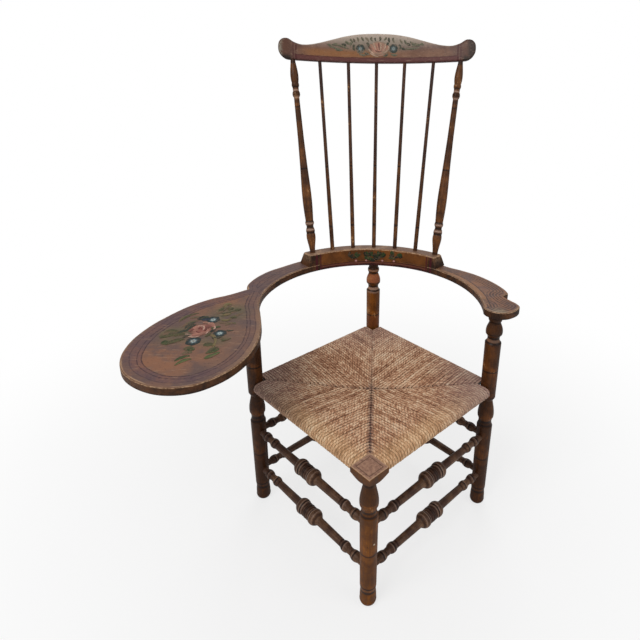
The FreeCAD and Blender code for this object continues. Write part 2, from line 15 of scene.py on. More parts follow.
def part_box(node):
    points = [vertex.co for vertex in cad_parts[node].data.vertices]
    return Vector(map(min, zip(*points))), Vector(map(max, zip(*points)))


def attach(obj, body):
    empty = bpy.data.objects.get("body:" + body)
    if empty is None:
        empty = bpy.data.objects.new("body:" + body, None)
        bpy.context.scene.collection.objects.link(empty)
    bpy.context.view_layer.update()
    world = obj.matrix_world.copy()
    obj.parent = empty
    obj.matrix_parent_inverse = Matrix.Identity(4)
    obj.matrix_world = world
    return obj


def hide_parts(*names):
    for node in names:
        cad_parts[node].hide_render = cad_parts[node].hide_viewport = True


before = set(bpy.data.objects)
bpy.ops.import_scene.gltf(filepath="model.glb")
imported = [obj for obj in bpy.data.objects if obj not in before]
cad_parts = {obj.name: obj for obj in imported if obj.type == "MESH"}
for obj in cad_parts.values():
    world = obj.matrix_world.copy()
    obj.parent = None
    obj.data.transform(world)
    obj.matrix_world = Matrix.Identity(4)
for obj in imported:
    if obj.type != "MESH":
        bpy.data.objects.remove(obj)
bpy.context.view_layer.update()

# %% [markdown]
# Every place on this chair is easiest to name from the middle of the seat, on the floor. The
# model's own origin lies under the middle of its whole outline, so the seat's middle is read
# from the two legs on the chair's centre line. Sizes are the chair's own, in metres.

# %% Sizes of the chair
front_low, front_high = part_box("front_leg")
back_low, back_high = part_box("back_post")
seat_middle = (front_low + front_high + back_low + back_high) / 4
seat_x = seat_middle.x
seat_y = seat_middle.y
corner_reach = 0.310
arm_x = seat_x - 0.004
arm_y = seat_y + 0.004
bow_radius = 0.278
arm_width = 0.066
arm_top = 0.634
riser_top = 0.668
comb_rake = radians(12)
comb_height = 0.522
spindle_row_y = 0.300
spindle_row_radius = 0.3254
print("seat middle", round(seat_x, 4), round(seat_y, 4))

# %% [markdown]
# The camera stands where the photographer stood: in front of the chair, about as high as its
# crest, looking down. Three angles give its direction, and the last is a small roll about the
# view. The lens is shifted, because the photograph is a crop and its middle isn't the middle of
# the lens.

# %% Camera
def aim(yaw, pitch, roll):
    """Camera directions from three angles: turn about Z, tip down, then turn about the view."""
    ahead = Vector((sin(yaw) * cos(pitch), cos(yaw) * cos(pitch), -sin(pitch)))
    level = Vector((cos(yaw), -sin(yaw), 0))
    above = level.cross(ahead)
    right = level * cos(roll) + above * sin(roll)
    up = above * cos(roll) - level * sin(roll)
    return Matrix((right, up, -ahead)).transposed()


camera_data = bpy.data.cameras.new("camera")
camera_data.lens = 29.604
camera_data.sensor_width = 36
camera_data.shift_x = -0.0733
camera_data.shift_y = -0.1061
camera = bpy.data.objects.new("camera", camera_data)
bpy.context.collection.objects.link(camera)
camera_place = Vector((seat_x + 0.0058, seat_y - 1.1882, 1.2085))
camera_turn = aim(radians(-1.0167), radians(20.524), radians(0.523))
camera.matrix_world = Matrix.Translation(camera_place) @ camera_turn.to_4x4()
bpy.context.scene.camera = camera
bpy.context.scene.view_settings.view_transform = "Standard"
print("camera at", tuple(round(v, 3) for v in camera_place))

# %% [markdown]
# A material here is wired from small steps, such as a noise, a mix or a ring of paint. This
# small helper keeps each step to one line. Most of its methods add one node and hand back the
# socket that carries the result, so steps can be nested as in a formula.

# %% Helper for wiring materials
def paint(red, green, blue):
    """Colour as linear light from the 0 to 255 numbers that a screen shows.

    A share of 255 above 0.04045 becomes ((share + 0.055) / 1.055) to the power 2.4, and a
    smaller one is divided by 12.92.
    """
    share = np.array([red, green, blue]) / 255
    linear = np.where(share <= 0.04045, share / 12.92, ((share + 0.055) / 1.055) ** 2.4)
    return (*[float(v) for v in linear], 1.0)


class Finish:
    """A material that is wired step by step; each step returns the socket that it made."""

    def __init__(self, name):
        self.material = bpy.data.materials.new(name)
        self.material.use_nodes = True
        self.nodes = self.material.node_tree.nodes
        self.links = self.material.node_tree.links
        self.shader = self.nodes["Principled BSDF"]
        self.place = self.add("TexCoord").outputs["Object"]

    def add(self, kind, values=None, **settings):
        """Any node, with its settings, and with values or links for its inputs."""
        node = self.nodes.new("ShaderNode" + kind)
        for key, value in settings.items():
            setattr(node, key, value)
        for key, value in (values or {}).items():
            self.feed(node.inputs[key], value)
        return node

    def feed(self, socket, value):
        """Links another socket to an input, or sets the input to a plain value."""
        if isinstance(value, bpy.types.NodeSocket):
            self.links.new(value, socket)
        else:
            socket.default_value = value

    def local(self, origin, direction):
        """Place measured from an origin, with Z along a direction."""
        turned = Vector(direction).to_track_quat("Z", "Y").to_matrix()
        values = {"Vector": self.place, "Location": origin, "Rotation": turned.to_euler()}
        return self.add("Mapping", values, vector_type="TEXTURE").outputs[0]

    def scaled(self, vector, scale):
        """A place with each of its parts multiplied by its own number."""
        return self.add("Mapping", {"Vector": vector, "Scale": scale}).outputs[0]

    def parts(self, vector):
        """The three parts of a place."""
        return self.add("SeparateXYZ", {"Vector": vector}).outputs

    def plan(self, x, y):
        """The three parts of a place measured from the upright line at x and y."""
        values = {"Vector": self.place, "Location": (-x, -y, 0)}
        return self.parts(self.add("Mapping", values).outputs[0])

    def away(self, point):
        """Distance from a point."""
        values = {0: self.place, 1: point}
        return self.add("VectorMath", values, operation="DISTANCE").outputs["Value"]

    def facing(self, axis):
        """1 where the surface looks along an axis, and -1 where it looks the other way."""
        return self.parts(self.add("NewGeometry").outputs["Normal"])[axis]

    def mark(self, name, output="Vector"):
        """What the mesh carries for each of its points under a name."""
        return self.add("Attribute", attribute_name=name).outputs[output]

    def noise(self, vector, scale, detail=3.0, rough=0.55, twist=0.0):
        """Soft random numbers from 0 to 1; a larger scale gives smaller spots."""
        values = {"Vector": vector, "Scale": scale, "Detail": detail, "Roughness": rough,
                  "Distortion": twist}
        return self.add("TexNoise", values).outputs["Fac"]

    def math(self, operation, first, second=0.0, third=0.0):
        """One of Blender's own operations on up to three numbers."""
        values = {0: first, 1: second, 2: third}
        return self.add("Math", values, operation=operation).outputs[0]

    def times(self, first, *others):
        """Product of two or more numbers."""
        for other in others:
            first = self.math("MULTIPLY", first, other)
        return first

    def step(self, value, low, high, start=0.0, end=1.0):
        """Smooth change from start to end while the value goes from low to high."""
        values = {"Value": value, "From Min": low, "From Max": high, "To Min": start,
                  "To Max": end}
        node = self.add("MapRange", values, interpolation_type="SMOOTHSTEP")
        return node.outputs["Result"]

    def band(self, value, start, end, soft):
        """1 between start and end, and 0 outside them, with soft sides."""
        rise = self.step(value, start - soft, start + soft)
        fall = self.step(value, end - soft, end + soft, 1.0, 0.0)
        return self.times(rise, fall)

    def blend(self, share, first, second):
        """Mix of two colours: the first where share is 0, and the second where it is 1."""
        node = self.add("Mix", data_type="RGBA")
        self.feed(node.inputs[0], share)
        self.feed(node.inputs[6], first)
        self.feed(node.inputs[7], second)
        return node.outputs[2]

    def layers(self, colour, *coats):
        """A colour with coats over it, the lowest first: each is a share and a colour."""
        for share, tone in coats:
            colour = self.blend(share, colour, tone)
        return colour

    def rings(self, distance, length, bands, ground):
        """Painted rings on a ground colour: each band is (start, end, colour, strength).

        A colour ramp reads its stops in order and has room for few, so a new ramp starts after
        seven bands, or where a band starts before the last one has ended. With no bands, the
        new ramp's own grey, dark at one end and light at the other, covers the ground.
        """
        soft = 0.0011
        share = self.math("DIVIDE", distance, length)
        groups = [[]]
        for band in bands:
            if len(groups[-1]) == 7 or (groups[-1] and band[0] < groups[-1][-1][1] + 2 * soft):
                groups.append([])
            groups[-1].append(band)
        for group in groups:
            ramp = self.add("ValToRGB", {"Fac": share})
            stops = []
            for start, end, colour, strength in group:
                clear = (*colour[:3], 0.0)
                full = (*colour[:3], strength)
                stops += [(start - soft, clear), (start, full), (end, full), (end + soft, clear)]
            stops = [(min(max(at / length, 0.0), 1.0), colour) for at, colour in stops]
            elements = ramp.color_ramp.elements
            for at, colour in stops[1:-1]:
                elements.new(at)
            for element, (at, colour) in zip(elements, stops):
                element.position = at
                element.color = colour
            ground = self.blend(ramp.outputs["Alpha"], ground, ramp.outputs["Color"])
        return ground

    def bump(self, height, strength, distance, under=None):
        """Small relief from a height, on top of the relief under it."""
        values = {"Height": height, "Strength": strength, "Distance": distance}
        if under is not None:
            values["Normal"] = under
        return self.add("Bump", values).outputs[0]

    def close(self, colour, roughness, normal, **constants):
        """Feeds the shader; what is the same all over is set on the shader's own sockets."""
        self.feed(self.shader.inputs["Base Color"], colour)
        self.feed(self.shader.inputs["Roughness"], roughness)
        self.feed(self.shader.inputs["Normal"], normal)
        self.shader.inputs["Specular IOR Level"].default_value = 0.25
        for key, value in constants.items():
            self.shader.inputs[key.replace("_", " ")].default_value = value
        return self.material


def wear(piece, material):
    """Puts one material on a piece."""
    piece.data.materials.clear()
    piece.data.materials.append(material)


print("helper ready")

# %% [markdown]
# The light is soft and plain, as in the photograph: a grey world that lights from everywhere, a
# large key light in front on the left, and two weaker ones that lift the shadows. The floor is
# pale close to the chair, where it shows its shadow, and fades into the white of the world.

# %% Floor, world and lights
def soft_light(name, place, aim_at, size, power):
    """Square area light whose own -Z axis looks at a point."""
    data = bpy.data.lights.new(name, "AREA")
    data.size = size
    data.energy = power
    lamp = bpy.data.objects.new(name, data)
    bpy.context.collection.objects.link(lamp)
    lamp.location = place
    look = Vector(aim_at) - Vector(place)
    lamp.rotation_euler = look.to_track_quat("-Z", "Y").to_euler()
    return lamp


soft_light("key_light", (-1.5, -1.9, 3.1), (0, 0, 0.5), 1.8, 58)
soft_light("side_light", (2.3, -1.3, 1.9), (0, 0, 0.5), 1.8, 17)
soft_light("back_light", (0.4, 2.2, 2.6), (0, 0, 0.7), 1.6, 18)

world = bpy.data.worlds.new("plain studio")
bpy.context.scene.world = world
world.use_nodes = True
world_nodes = world.node_tree.nodes
world_links = world.node_tree.links
ray = world_nodes.new("ShaderNodeLightPath")
seen = world_nodes.new("ShaderNodeMath")
seen.operation = "MAXIMUM"
world_links.new(ray.outputs["Is Camera Ray"], seen.inputs[0])
world_links.new(ray.outputs["Is Transmission Ray"], seen.inputs[1])
world_light = 0.36
level = world_nodes.new("ShaderNodeMapRange")
level.inputs["To Min"].default_value = world_light
world_links.new(seen.outputs[0], level.inputs["Value"])
world_links.new(level.outputs[0], world_nodes["Background"].inputs["Strength"])
world_nodes["Background"].inputs["Color"].default_value = (1, 1, 1, 1)

floor_data = bpy.data.meshes.new("floor")
floor_data.from_pydata([(-30, -30, 0), (30, -30, 0), (30, 30, 0), (-30, 30, 0)], [],
                       [(0, 1, 2, 3)])
floor = bpy.data.objects.new("floor", floor_data)
bpy.context.collection.objects.link(floor)

floor_finish = Finish("pale floor")
floor_finish.shader.inputs["Base Color"].default_value = (0.86, 0.86, 0.86, 1)
floor_finish.shader.inputs["Roughness"].default_value = 0.9
far = floor_finish.step(floor_finish.away((0, 0, 0)), 0.35, 1.6, 0.72, 1.0)
eye = floor_finish.add("LightPath").outputs["Is Camera Ray"]
white = floor_finish.add("Emission", {"Color": (1, 1, 1, 1), "Strength": 1.0})
both = floor_finish.add("MixShader", {0: floor_finish.times(far, eye),
                                      1: floor_finish.shader.outputs[0], 2: white.outputs[0]})
floor_finish.links.new(both.outputs[0], floor_finish.nodes["Material Output"].inputs["Surface"])
wear(floor, floor_finish.material)
print("three lights and a pale floor")

# %% [markdown]
# New shapes are made as grids of points. A grid has rows along the shape and columns across it,
# and many equal grids can go into one mesh, as the cords of the seat do. The columns may wrap
# round to make a tube, and a tube's two ends are closed with a flat face. All the corner
# numbers come from whole arrays, so even thousands of cords take no time.

# %% Helper for meshes from grids
def grid_mesh(name, points, wrap=False, marks=None, closed=False):
    """A piece from grids of points with the shape (grids, rows, columns, 3).

    Corner numbers: row * columns + column, and each later grid starts where the last one ended.
    marks are named values or colours for each point, which materials read by name. With wrap,
    the last column joins the first, and closed says that the ends need no flat face.
    """
    points = np.asarray(points, float)
    if points.ndim == 3:
        points = points[None]
    count, rows, columns = points.shape[:3]
    row = np.arange(rows - 1)[:, None]
    column = np.arange(columns if wrap else columns - 1)[None, :]
    a = row * columns + column
    b = row * columns + (column + 1) % columns
    quads = np.stack([a, b, b + columns, a + columns], axis=-1).reshape(-1, 4)
    shift = np.arange(count)[:, None, None] * rows * columns
    quads = (quads[None] + shift).reshape(-1, 4)
    corners = quads.reshape(-1)
    starts = np.arange(len(quads)) * 4
    if wrap and not closed:
        ring = np.arange(columns)
        caps = np.stack([ring[::-1], ring + (rows - 1) * columns])
        caps = (caps[None] + shift).reshape(-1, columns)
        starts = np.concatenate([starts, len(corners) + np.arange(len(caps)) * columns])
        corners = np.concatenate([corners, caps.reshape(-1)])
    mesh = bpy.data.meshes.new(name)
    mesh.vertices.add(count * rows * columns)
    mesh.loops.add(len(corners))
    mesh.polygons.add(len(starts))
    mesh.vertices.foreach_set("co", points.reshape(-1))
    mesh.loops.foreach_set("vertex_index", corners.astype(np.int32))
    mesh.polygons.foreach_set("loop_start", starts.astype(np.int32))
    mesh.update(calc_edges=True)
    for mark, values in (marks or {}).items():
        values = np.asarray(values, float)
        kind = "FLOAT"
        if values.ndim == points.ndim:
            kind = {3: "FLOAT_VECTOR", 4: "FLOAT_COLOR"}[values.shape[-1]]
        layer = mesh.attributes.new(mark, kind, "POINT")
        field = {"FLOAT": "value", "FLOAT_VECTOR": "vector", "FLOAT_COLOR": "color"}[kind]
        layer.data.foreach_set(field, values.reshape(-1))
    mesh.polygons.foreach_set("use_smooth", np.ones(len(mesh.polygons), bool))
    piece = bpy.data.objects.new(name, mesh)
    bpy.context.collection.objects.link(piece)
    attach(piece, "root")
    return piece


def merge_doubles(piece, distance=1e-6):
    """Joins points that lie on each other, and turns every face outwards."""
    work = bmesh.new()
    work.from_mesh(piece.data)
    bmesh.ops.remove_doubles(work, verts=work.verts, dist=distance)
    bmesh.ops.dissolve_degenerate(work, edges=work.edges, dist=distance)
    bmesh.ops.recalc_face_normals(work, faces=work.faces)
    open_edges = sum(e.is_boundary for e in work.edges)
    work.to_mesh(piece.data)
    work.free()
    print(piece.name, len(piece.data.polygons), "faces,", open_edges, "open edges")


def through(points, count):
    """Smooth line through points: a cubic between each two, whose slopes join their neighbours."""
    points = np.asarray(points, float)
    reach = np.linalg.norm(np.diff(points, axis=0), axis=1)
    reach = np.concatenate([[0], np.cumsum(reach)])
    slopes = np.gradient(points, reach, axis=0)
    along = np.linspace(0, reach[-1], count)
    k = np.clip(np.searchsorted(reach, along, side="right") - 1, 0, len(points) - 2)
    span = (reach[k + 1] - reach[k])[:, None]
    s = (along - reach[k])[:, None] / span
    first = (1 + 2 * s) * (1 - s) ** 2 * points[k] + s * (1 - s) ** 2 * span * slopes[k]
    second = s ** 2 * (3 - 2 * s) * points[k + 1] + s ** 2 * (s - 1) * span * slopes[k + 1]
    return first + second


print("grid helper ready")

# %% [markdown]
# The turned pieces keep the solid model's own shape, which is already round and finely divided.
# What they need is their finish: an old honey brown paint over which a dark reddish glaze was
# brushed, with thin dark rings at the turner's lines, and bare, lighter wood where hands and
# feet have rubbed. Each piece measures its colour along its own axis, so the rings sit square
# on it even where it leans.

# %% Finish of turned wood
honey = paint(150, 88, 24)
umber = paint(96, 55, 16)
glaze = paint(52, 28, 18)
umber_deep = paint(58, 34, 18)
leg_tones = (honey, umber, 0.40)
# painted shade: the tablet and hand posts stand under the tablet and the hand rest, so they get a darker
# copy of the legs' tones
shaded_post_tones = (paint(122, 70, 24), paint(64, 36, 14), 0.50)
comb_tones = (paint(134, 84, 42), paint(76, 47, 26), 0.50)
bar_tones = (paint(138, 104, 78), paint(84, 60, 48), 0.46)
ring_dark = paint(30, 17, 14)
rubbed = paint(168, 124, 80)
# pale rings: partly rubbed wood on the posts, and painted highlights along the edges of the beads
worn_ring_and_highlight = paint(176, 146, 128)
russet = paint(172, 100, 72)
line_black = paint(24, 12, 8)


def turned_finish(name, origin, direction, length, bands, tones, folded=False, shade=0.0,
                  extra=None, own=False):
    """Worn glaze on turned wood, with rings at distances along the axis.

    tones are the light colour, the dark one and the glaze's strength. With folded, distances
    count both ways from the middle. A larger shade leaves more of the dark colour and fewer
    chips. extra may add steps of its own to the colour, for a flat top or a chip. With own,
    pieces of one shape get worn patches in different places.
    """
    light, dark, glazing = tones
    make = Finish(name)
    local = make.local(origin, direction)
    axis = make.parts(local)[2]
    if folded:
        axis = make.math("ABSOLUTE", make.math("SUBTRACT", axis, length))
    grain = make.noise(make.scaled(local, (330, 330, 16)), 1.0, 4.0, 0.6, 0.4)
    patches = make.noise(make.place if own else local, 19.0, 5.0, 0.62, 0.3)
    specks = make.noise(local, 260.0, 3.0, 0.7)
    colour = make.blend(make.step(patches, 0.36 + shade, 0.66 + shade), dark, light)
    colour = make.blend(make.step(grain, 0.42, 0.68, glazing, 0.0), colour, glaze)
    wobble = make.math("MULTIPLY_ADD", make.noise(local, 60.0, 2.0), 0.003, axis)
    wobble = make.math("SUBTRACT", wobble, 0.0015)
    colour = make.rings(wobble, length, bands, colour)
    chipped = make.math("MULTIPLY_ADD", specks, 0.35, patches)
    chipped = make.step(chipped, 0.80 + 2 * shade, 0.86 + 2 * shade, 0.0, 0.7)
    pits = make.step(specks, 0.30, 0.40, 0.75, 0.0)
    colour = make.layers(colour, (chipped, rubbed), (pits, ring_dark))
    if extra is not None:
        colour = extra(make, local, colour)
    gloss = make.step(grain, 0.2, 0.9, 0.36, 0.62)
    skin = make.bump(grain, 0.25, 0.0006)
    skin = make.bump(specks, 0.22, 0.0004, skin)
    return make.close(colour, gloss, skin, Coat_Weight=0.05, Coat_Roughness=0.3,
                      Specular_IOR_Level=0.16)


print("turned finish ready")

# %% [markdown]
# The four legs share one pattern up to the seat: a dark ring round each scored line and a dark
# band in each hollow. The three tall posts go on above the seat with more lines. The back post's
# ball kept its russet paint between pale rings, which are partly rubbed wood and partly painted
# highlights, and the hand post's ball is dark. The front leg ends in a square head with a flat,
# rubbed top, and the neck just under the head is painted dark as painted shade.

# %% Legs and posts
def scored(at, half=0.0012, colour=ring_dark, strength=0.85):
    """A painted ring round a middle."""
    return (at - half, at + half, colour, strength)


leg_bands = [(0.0, 0.006, glaze, 0.6), scored(0.044, 0.003), scored(0.058, 0.0018),
             scored(0.162, 0.0012), scored(0.2735, 0.0014), scored(0.285, 0.0024)]
post_bands = [scored(0.362, 0.004, glaze), scored(0.4430, 0.0018, line_black, 0.95),
              scored(0.5258, 0.0018, line_black), scored(0.5405, 0.0035, line_black),
              scored(0.5515, 0.0010), scored(0.5840, 0.0035, line_black),
              (0.5965, 0.6150, ring_dark, 0.70)]
top_bands = {"back": [(0.404, 0.440, paint(112, 60, 40), 0.40), (0.5205, 0.5228, worn_ring_and_highlight, 0.45),
                      (0.5300, 0.5355, worn_ring_and_highlight, 0.60), (0.5535, 0.5790, russet, 0.45),
                      (0.5905, 0.5935, worn_ring_and_highlight, 0.55)],
             "hand": [(0.5300, 0.5355, worn_ring_and_highlight, 0.22), (0.5535, 0.5820, umber_deep, 0.62),
                      (0.5860, 0.5960, umber_deep, 0.70)]}
# painted shade: the dark bands just under the front leg's head stand for its shadow
neck_shade_and_head_bands = [(0.292, 0.306, umber_deep, 0.45), (0.308, 0.352, umber_deep, 0.72),
              (0.3525, 0.362, line_black, 0.80), (0.3635, 0.3975, umber_deep, 0.50)]
print(len(leg_bands), "rings below the seat")

# %% [markdown]
# Only the front leg's head has flat faces. The line on its top is a square that follows its
# sides, which face the two front corners of the seat's square at 45 degrees to the chair.

# %% Square head and the four uprights
def square_head(make, local, colour):
    """The flat top of the front leg, rubbed inside a dark line, and one pale chip lower down.

    The larger of |x + y| and |x - y|, over the square root of two, is constant on a square.
    """
    place = make.parts(local)
    first = make.math("ABSOLUTE", make.math("ADD", place[0], place[1]))
    second = make.math("ABSOLUTE", make.math("SUBTRACT", place[0], place[1]))
    out = make.times(make.math("MAXIMUM", first, second), sqrt(0.5))
    fine = make.noise(local, 150.0, 4.0, 0.7)
    top = make.blend(make.step(fine, 0.3, 0.7), paint(120, 84, 68), paint(166, 126, 102))
    line = make.times(make.band(out, 0.0195, 0.0210, 0.0006), 0.8)
    top = make.layers(top, (line, glaze), (make.step(out, 0.0250, 0.0285, 0.0, 0.7),
                                           paint(190, 156, 124)))
    high = make.times(make.step(make.facing(2), 0.5, 0.9), make.step(place[2], 0.39, 0.395))
    chip = make.math("MULTIPLY_ADD", fine, 0.003, make.away(chip_place))
    chip = make.step(chip, 0.0030, 0.0040, 0.95, 0.0)
    return make.layers(colour, (high, top), (chip, paint(214, 196, 170)))


chip_place = (seat_x + 0.0128, seat_y - 0.3262, 0.196)
corners = {"front": (0, -corner_reach), "tablet": (-corner_reach, 0),
           "hand": (corner_reach, 0), "back": (0, corner_reach)}
for corner, (x, y) in corners.items():
    name = "front_leg" if corner == "front" else corner + "_post"
    bands = leg_bands + (neck_shade_and_head_bands if corner == "front" else post_bands)
    bands += top_bands.get(corner, [])
    # painted shade: the posts under the tablet and the hand rest take the darker tones and a larger shade
    tones = leg_tones if corner in ("front", "back") else shaded_post_tones
    shade = {"tablet": 0.07, "hand": 0.03}.get(corner, 0.0)
    extra = square_head if corner == "front" else None
    finish = turned_finish(name + " finish", (seat_x + x, seat_y + y, 0), (0, 0, 1), arm_top,
                           bands, tones, shade=shade, extra=extra)
    wear(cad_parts[name], finish)
print(len(corners), "legs finished")

# %% [markdown]
# Each side of the chair has two stretchers with a bead in the middle between two big beads.
# Both halves are alike, so the finish measures from the stretcher's middle and folds the
# distance. The dark rings follow the fine lines beside the beads, and thin pale rings beside
# them are painted highlights. The four seat rails are hidden in the rush, and have no rings.

# %% Stretchers and seat rails
stretcher_bands = [scored(0.0025, 0.001), (0.007, 0.011, glaze, 0.7),
                   (0.0130, 0.0143, worn_ring_and_highlight, 0.40), scored(0.0170, 0.0014),
                   (0.0196, 0.0210, worn_ring_and_highlight, 0.45), (0.0300, 0.0313, worn_ring_and_highlight, 0.35),
                   (0.0345, 0.0385, glaze, 0.75), scored(0.128, 0.0014, glaze),
                   scored(0.139, 0.0016), (0.1425, 0.1440, worn_ring_and_highlight, 0.35),
                   scored(0.166, 0.0014, glaze), (0.1725, 0.1738, worn_ring_and_highlight, 0.30),
                   scored(0.1765, 0.0016)]
sides = [("front", "tablet"), ("front", "hand"), ("back", "tablet"), ("back", "hand")]
stretcher_levels = {"lower": 0.105, "upper": 0.234}
rail_piece = 0.44
for first, second in sides:
    start = Vector((*corners[first], 0))
    line = Vector((*corners[second], 0)) - start
    for level, height in stretcher_levels.items():
        name = first + "_" + second + "_" + level + "_stretcher"
        origin = start + Vector((seat_x, seat_y, height))
        finish = turned_finish(name + " finish", origin, line, line.length / 2,
                               stretcher_bands, bar_tones, folded=True, shade=0.03)
        wear(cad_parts[name], finish)
    rail = first + "_" + second + "_seat_rail"
    finish = turned_finish(rail + " finish", start, line, rail_piece, [], bar_tones, shade=0.05)
    wear(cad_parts[rail], finish)
print("eight stretchers and four rails finished")

# %% [markdown]
# The comb's stiles and spindles fan out between the riser and the crest. Their feet stand on an
# arc and their heads meet the bent crest, so the two ends of each axis are worked out as the
# maker would set them out, and the rings are measured up that axis.

# %% Stiles and spindles
crest_bend = 0.746
crest_low = Vector((0, spindle_row_y + comb_height * tan(comb_rake), riser_top + comb_height))
crest_behind = Vector((0, cos(comb_rake), -sin(comb_rake)))
crest_up = Vector((0, sin(comb_rake), cos(comb_rake)))
# painted highlights: the thin pale rings beside the stiles' beads
stile_bands = [(0.0, 0.004, glaze, 0.8), (0.056, 0.062, line_black, 0.85),
               (0.0650, 0.0690, worn_ring_and_highlight, 0.75), (0.0725, 0.078, line_black, 0.85),
               (0.0825, 0.0865, worn_ring_and_highlight, 0.75), (0.089, 0.0925, line_black, 0.85),
               (0.118, 0.121, glaze, 0.5), (0.2405, 0.2435, line_black, 0.85),
               (0.413, 0.417, line_black, 0.8), (0.426, 0.436, ring_dark, 0.55),
               (0.4395, 0.4430, worn_ring_and_highlight, 0.60), (0.4462, 0.4565, line_black, 0.62),
               (0.4595, 0.4625, worn_ring_and_highlight, 0.70), (0.467, 0.471, line_black, 0.75),
               (0.300, 0.411, umber_deep, 0.45), (0.474, 0.532, umber_deep, 0.25),
               (0.533, 0.560, line_black, 0.70)]
spindle_dusk = paint(50, 34, 32)
spindle_bands = [(0.0, 0.004, glaze, 0.8), scored(0.068, 0.0018), scored(0.242, 0.0018),
                 (0.248, 0.560, spindle_dusk, 0.52), scored(0.408, 0.0018),
                 (0.440, 0.560, spindle_dusk, 0.25)]
spindle_tones = (paint(122, 78, 40), paint(68, 42, 24), 0.50)
comb_names = ["tablet_stile"] + ["spindle_" + str(n) for n in range(1, 6)] + ["hand_stile"]
foot_angle = 11.05
head_gap = 0.0805
stile_head = 0.2345
comb_piece = 0.56
for index, name in enumerate(comb_names):
    step = index - 3
    turn = radians(step * foot_angle)
    foot = Vector((seat_x + spindle_row_radius * sin(turn),
                   seat_y + spindle_row_y - spindle_row_radius * (1 - cos(turn)), riser_top))
    across = step * head_gap if abs(step) < 3 else stile_head * step / 3
    ahead = crest_bend - sqrt(crest_bend ** 2 - across ** 2)
    head = crest_low + Vector((seat_x + across, seat_y, 0)) - crest_behind * ahead
    bands = spindle_bands if "spindle" in name else stile_bands
    tones = spindle_tones if "spindle" in name else comb_tones
    finish = turned_finish(name + " finish", foot, head - foot, comb_piece, bands, tones, own=True)
    wear(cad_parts[name], finish)
print("comb of", len(comb_names), "finished")

# %% [markdown]
# The seat is woven of twisted rush. One cord after another goes over a rail, in to the diagonal,
# down between its neighbours and back under the seat, so each quarter shows cords square to its
# rail, and they meet on the diagonals in a dark seam. Here each cord is a tube along that path.

# %% Path of a cord
cord_radius = 0.0031
rail_line = corner_reach / sqrt(2)
rail_level = 0.3833
wrap_x = rail_line + 0.005
wrap_reach = 0.0153 - cord_radius
top_rise = 0.022
under_low = 0.3606
under_rise = 0.0074
seam_width = 0.0065


def rush_path(start, dip):
    """Middle line of each cord: (along X, height) over the top, round the rail and back under.

    The top rises from the middle of the seat as the square of a sine, and sinks at the seam by
    a bell curve. It goes round the rail in half a circle, and back in a straight line.
    """
    start = start[:, None]
    outward = np.linspace(0, 1, 15)[None, :-1] ** 1.4
    top_x = start + (wrap_x - start) * outward
    top_z = rail_level + wrap_reach - top_rise * np.cos(top_x / wrap_x * pi / 2) ** 2
    top_z = top_z - dip[:, None] * np.exp(-((top_x - start) / seam_width) ** 2)
    turn = np.linspace(pi / 2, -pi / 2, 8)[None, :] + 0 * start
    wrap = np.stack([wrap_x + wrap_reach * np.cos(turn),
                     rail_level + wrap_reach * np.sin(turn)], axis=-1)
    back = np.linspace(1, 0, 7)[None, 1:]
    under_x = start + (wrap_x - start) * back
    under_z = under_low + under_rise * under_x / wrap_x + cord_radius
    top = np.stack([top_x, top_z], axis=-1)
    under = np.stack([under_x, under_z], axis=-1)
    return np.concatenate([top, wrap, under], axis=1)


print("rail's line at", round(rail_line, 4))

# %% [markdown]
# No two cords are alike. Seeded dice give each its own place, thickness, dip and shade, and all
# the cords of a quarter are worked out at once. A cord is a little wider than it is thick, so
# that it lies close against its neighbours.

# %% Cords of one quarter
dice = np.random.default_rng(11)
cord_pitch = 0.0078
cord_oval = 1.36
cord_sides = 8
under_row = 20


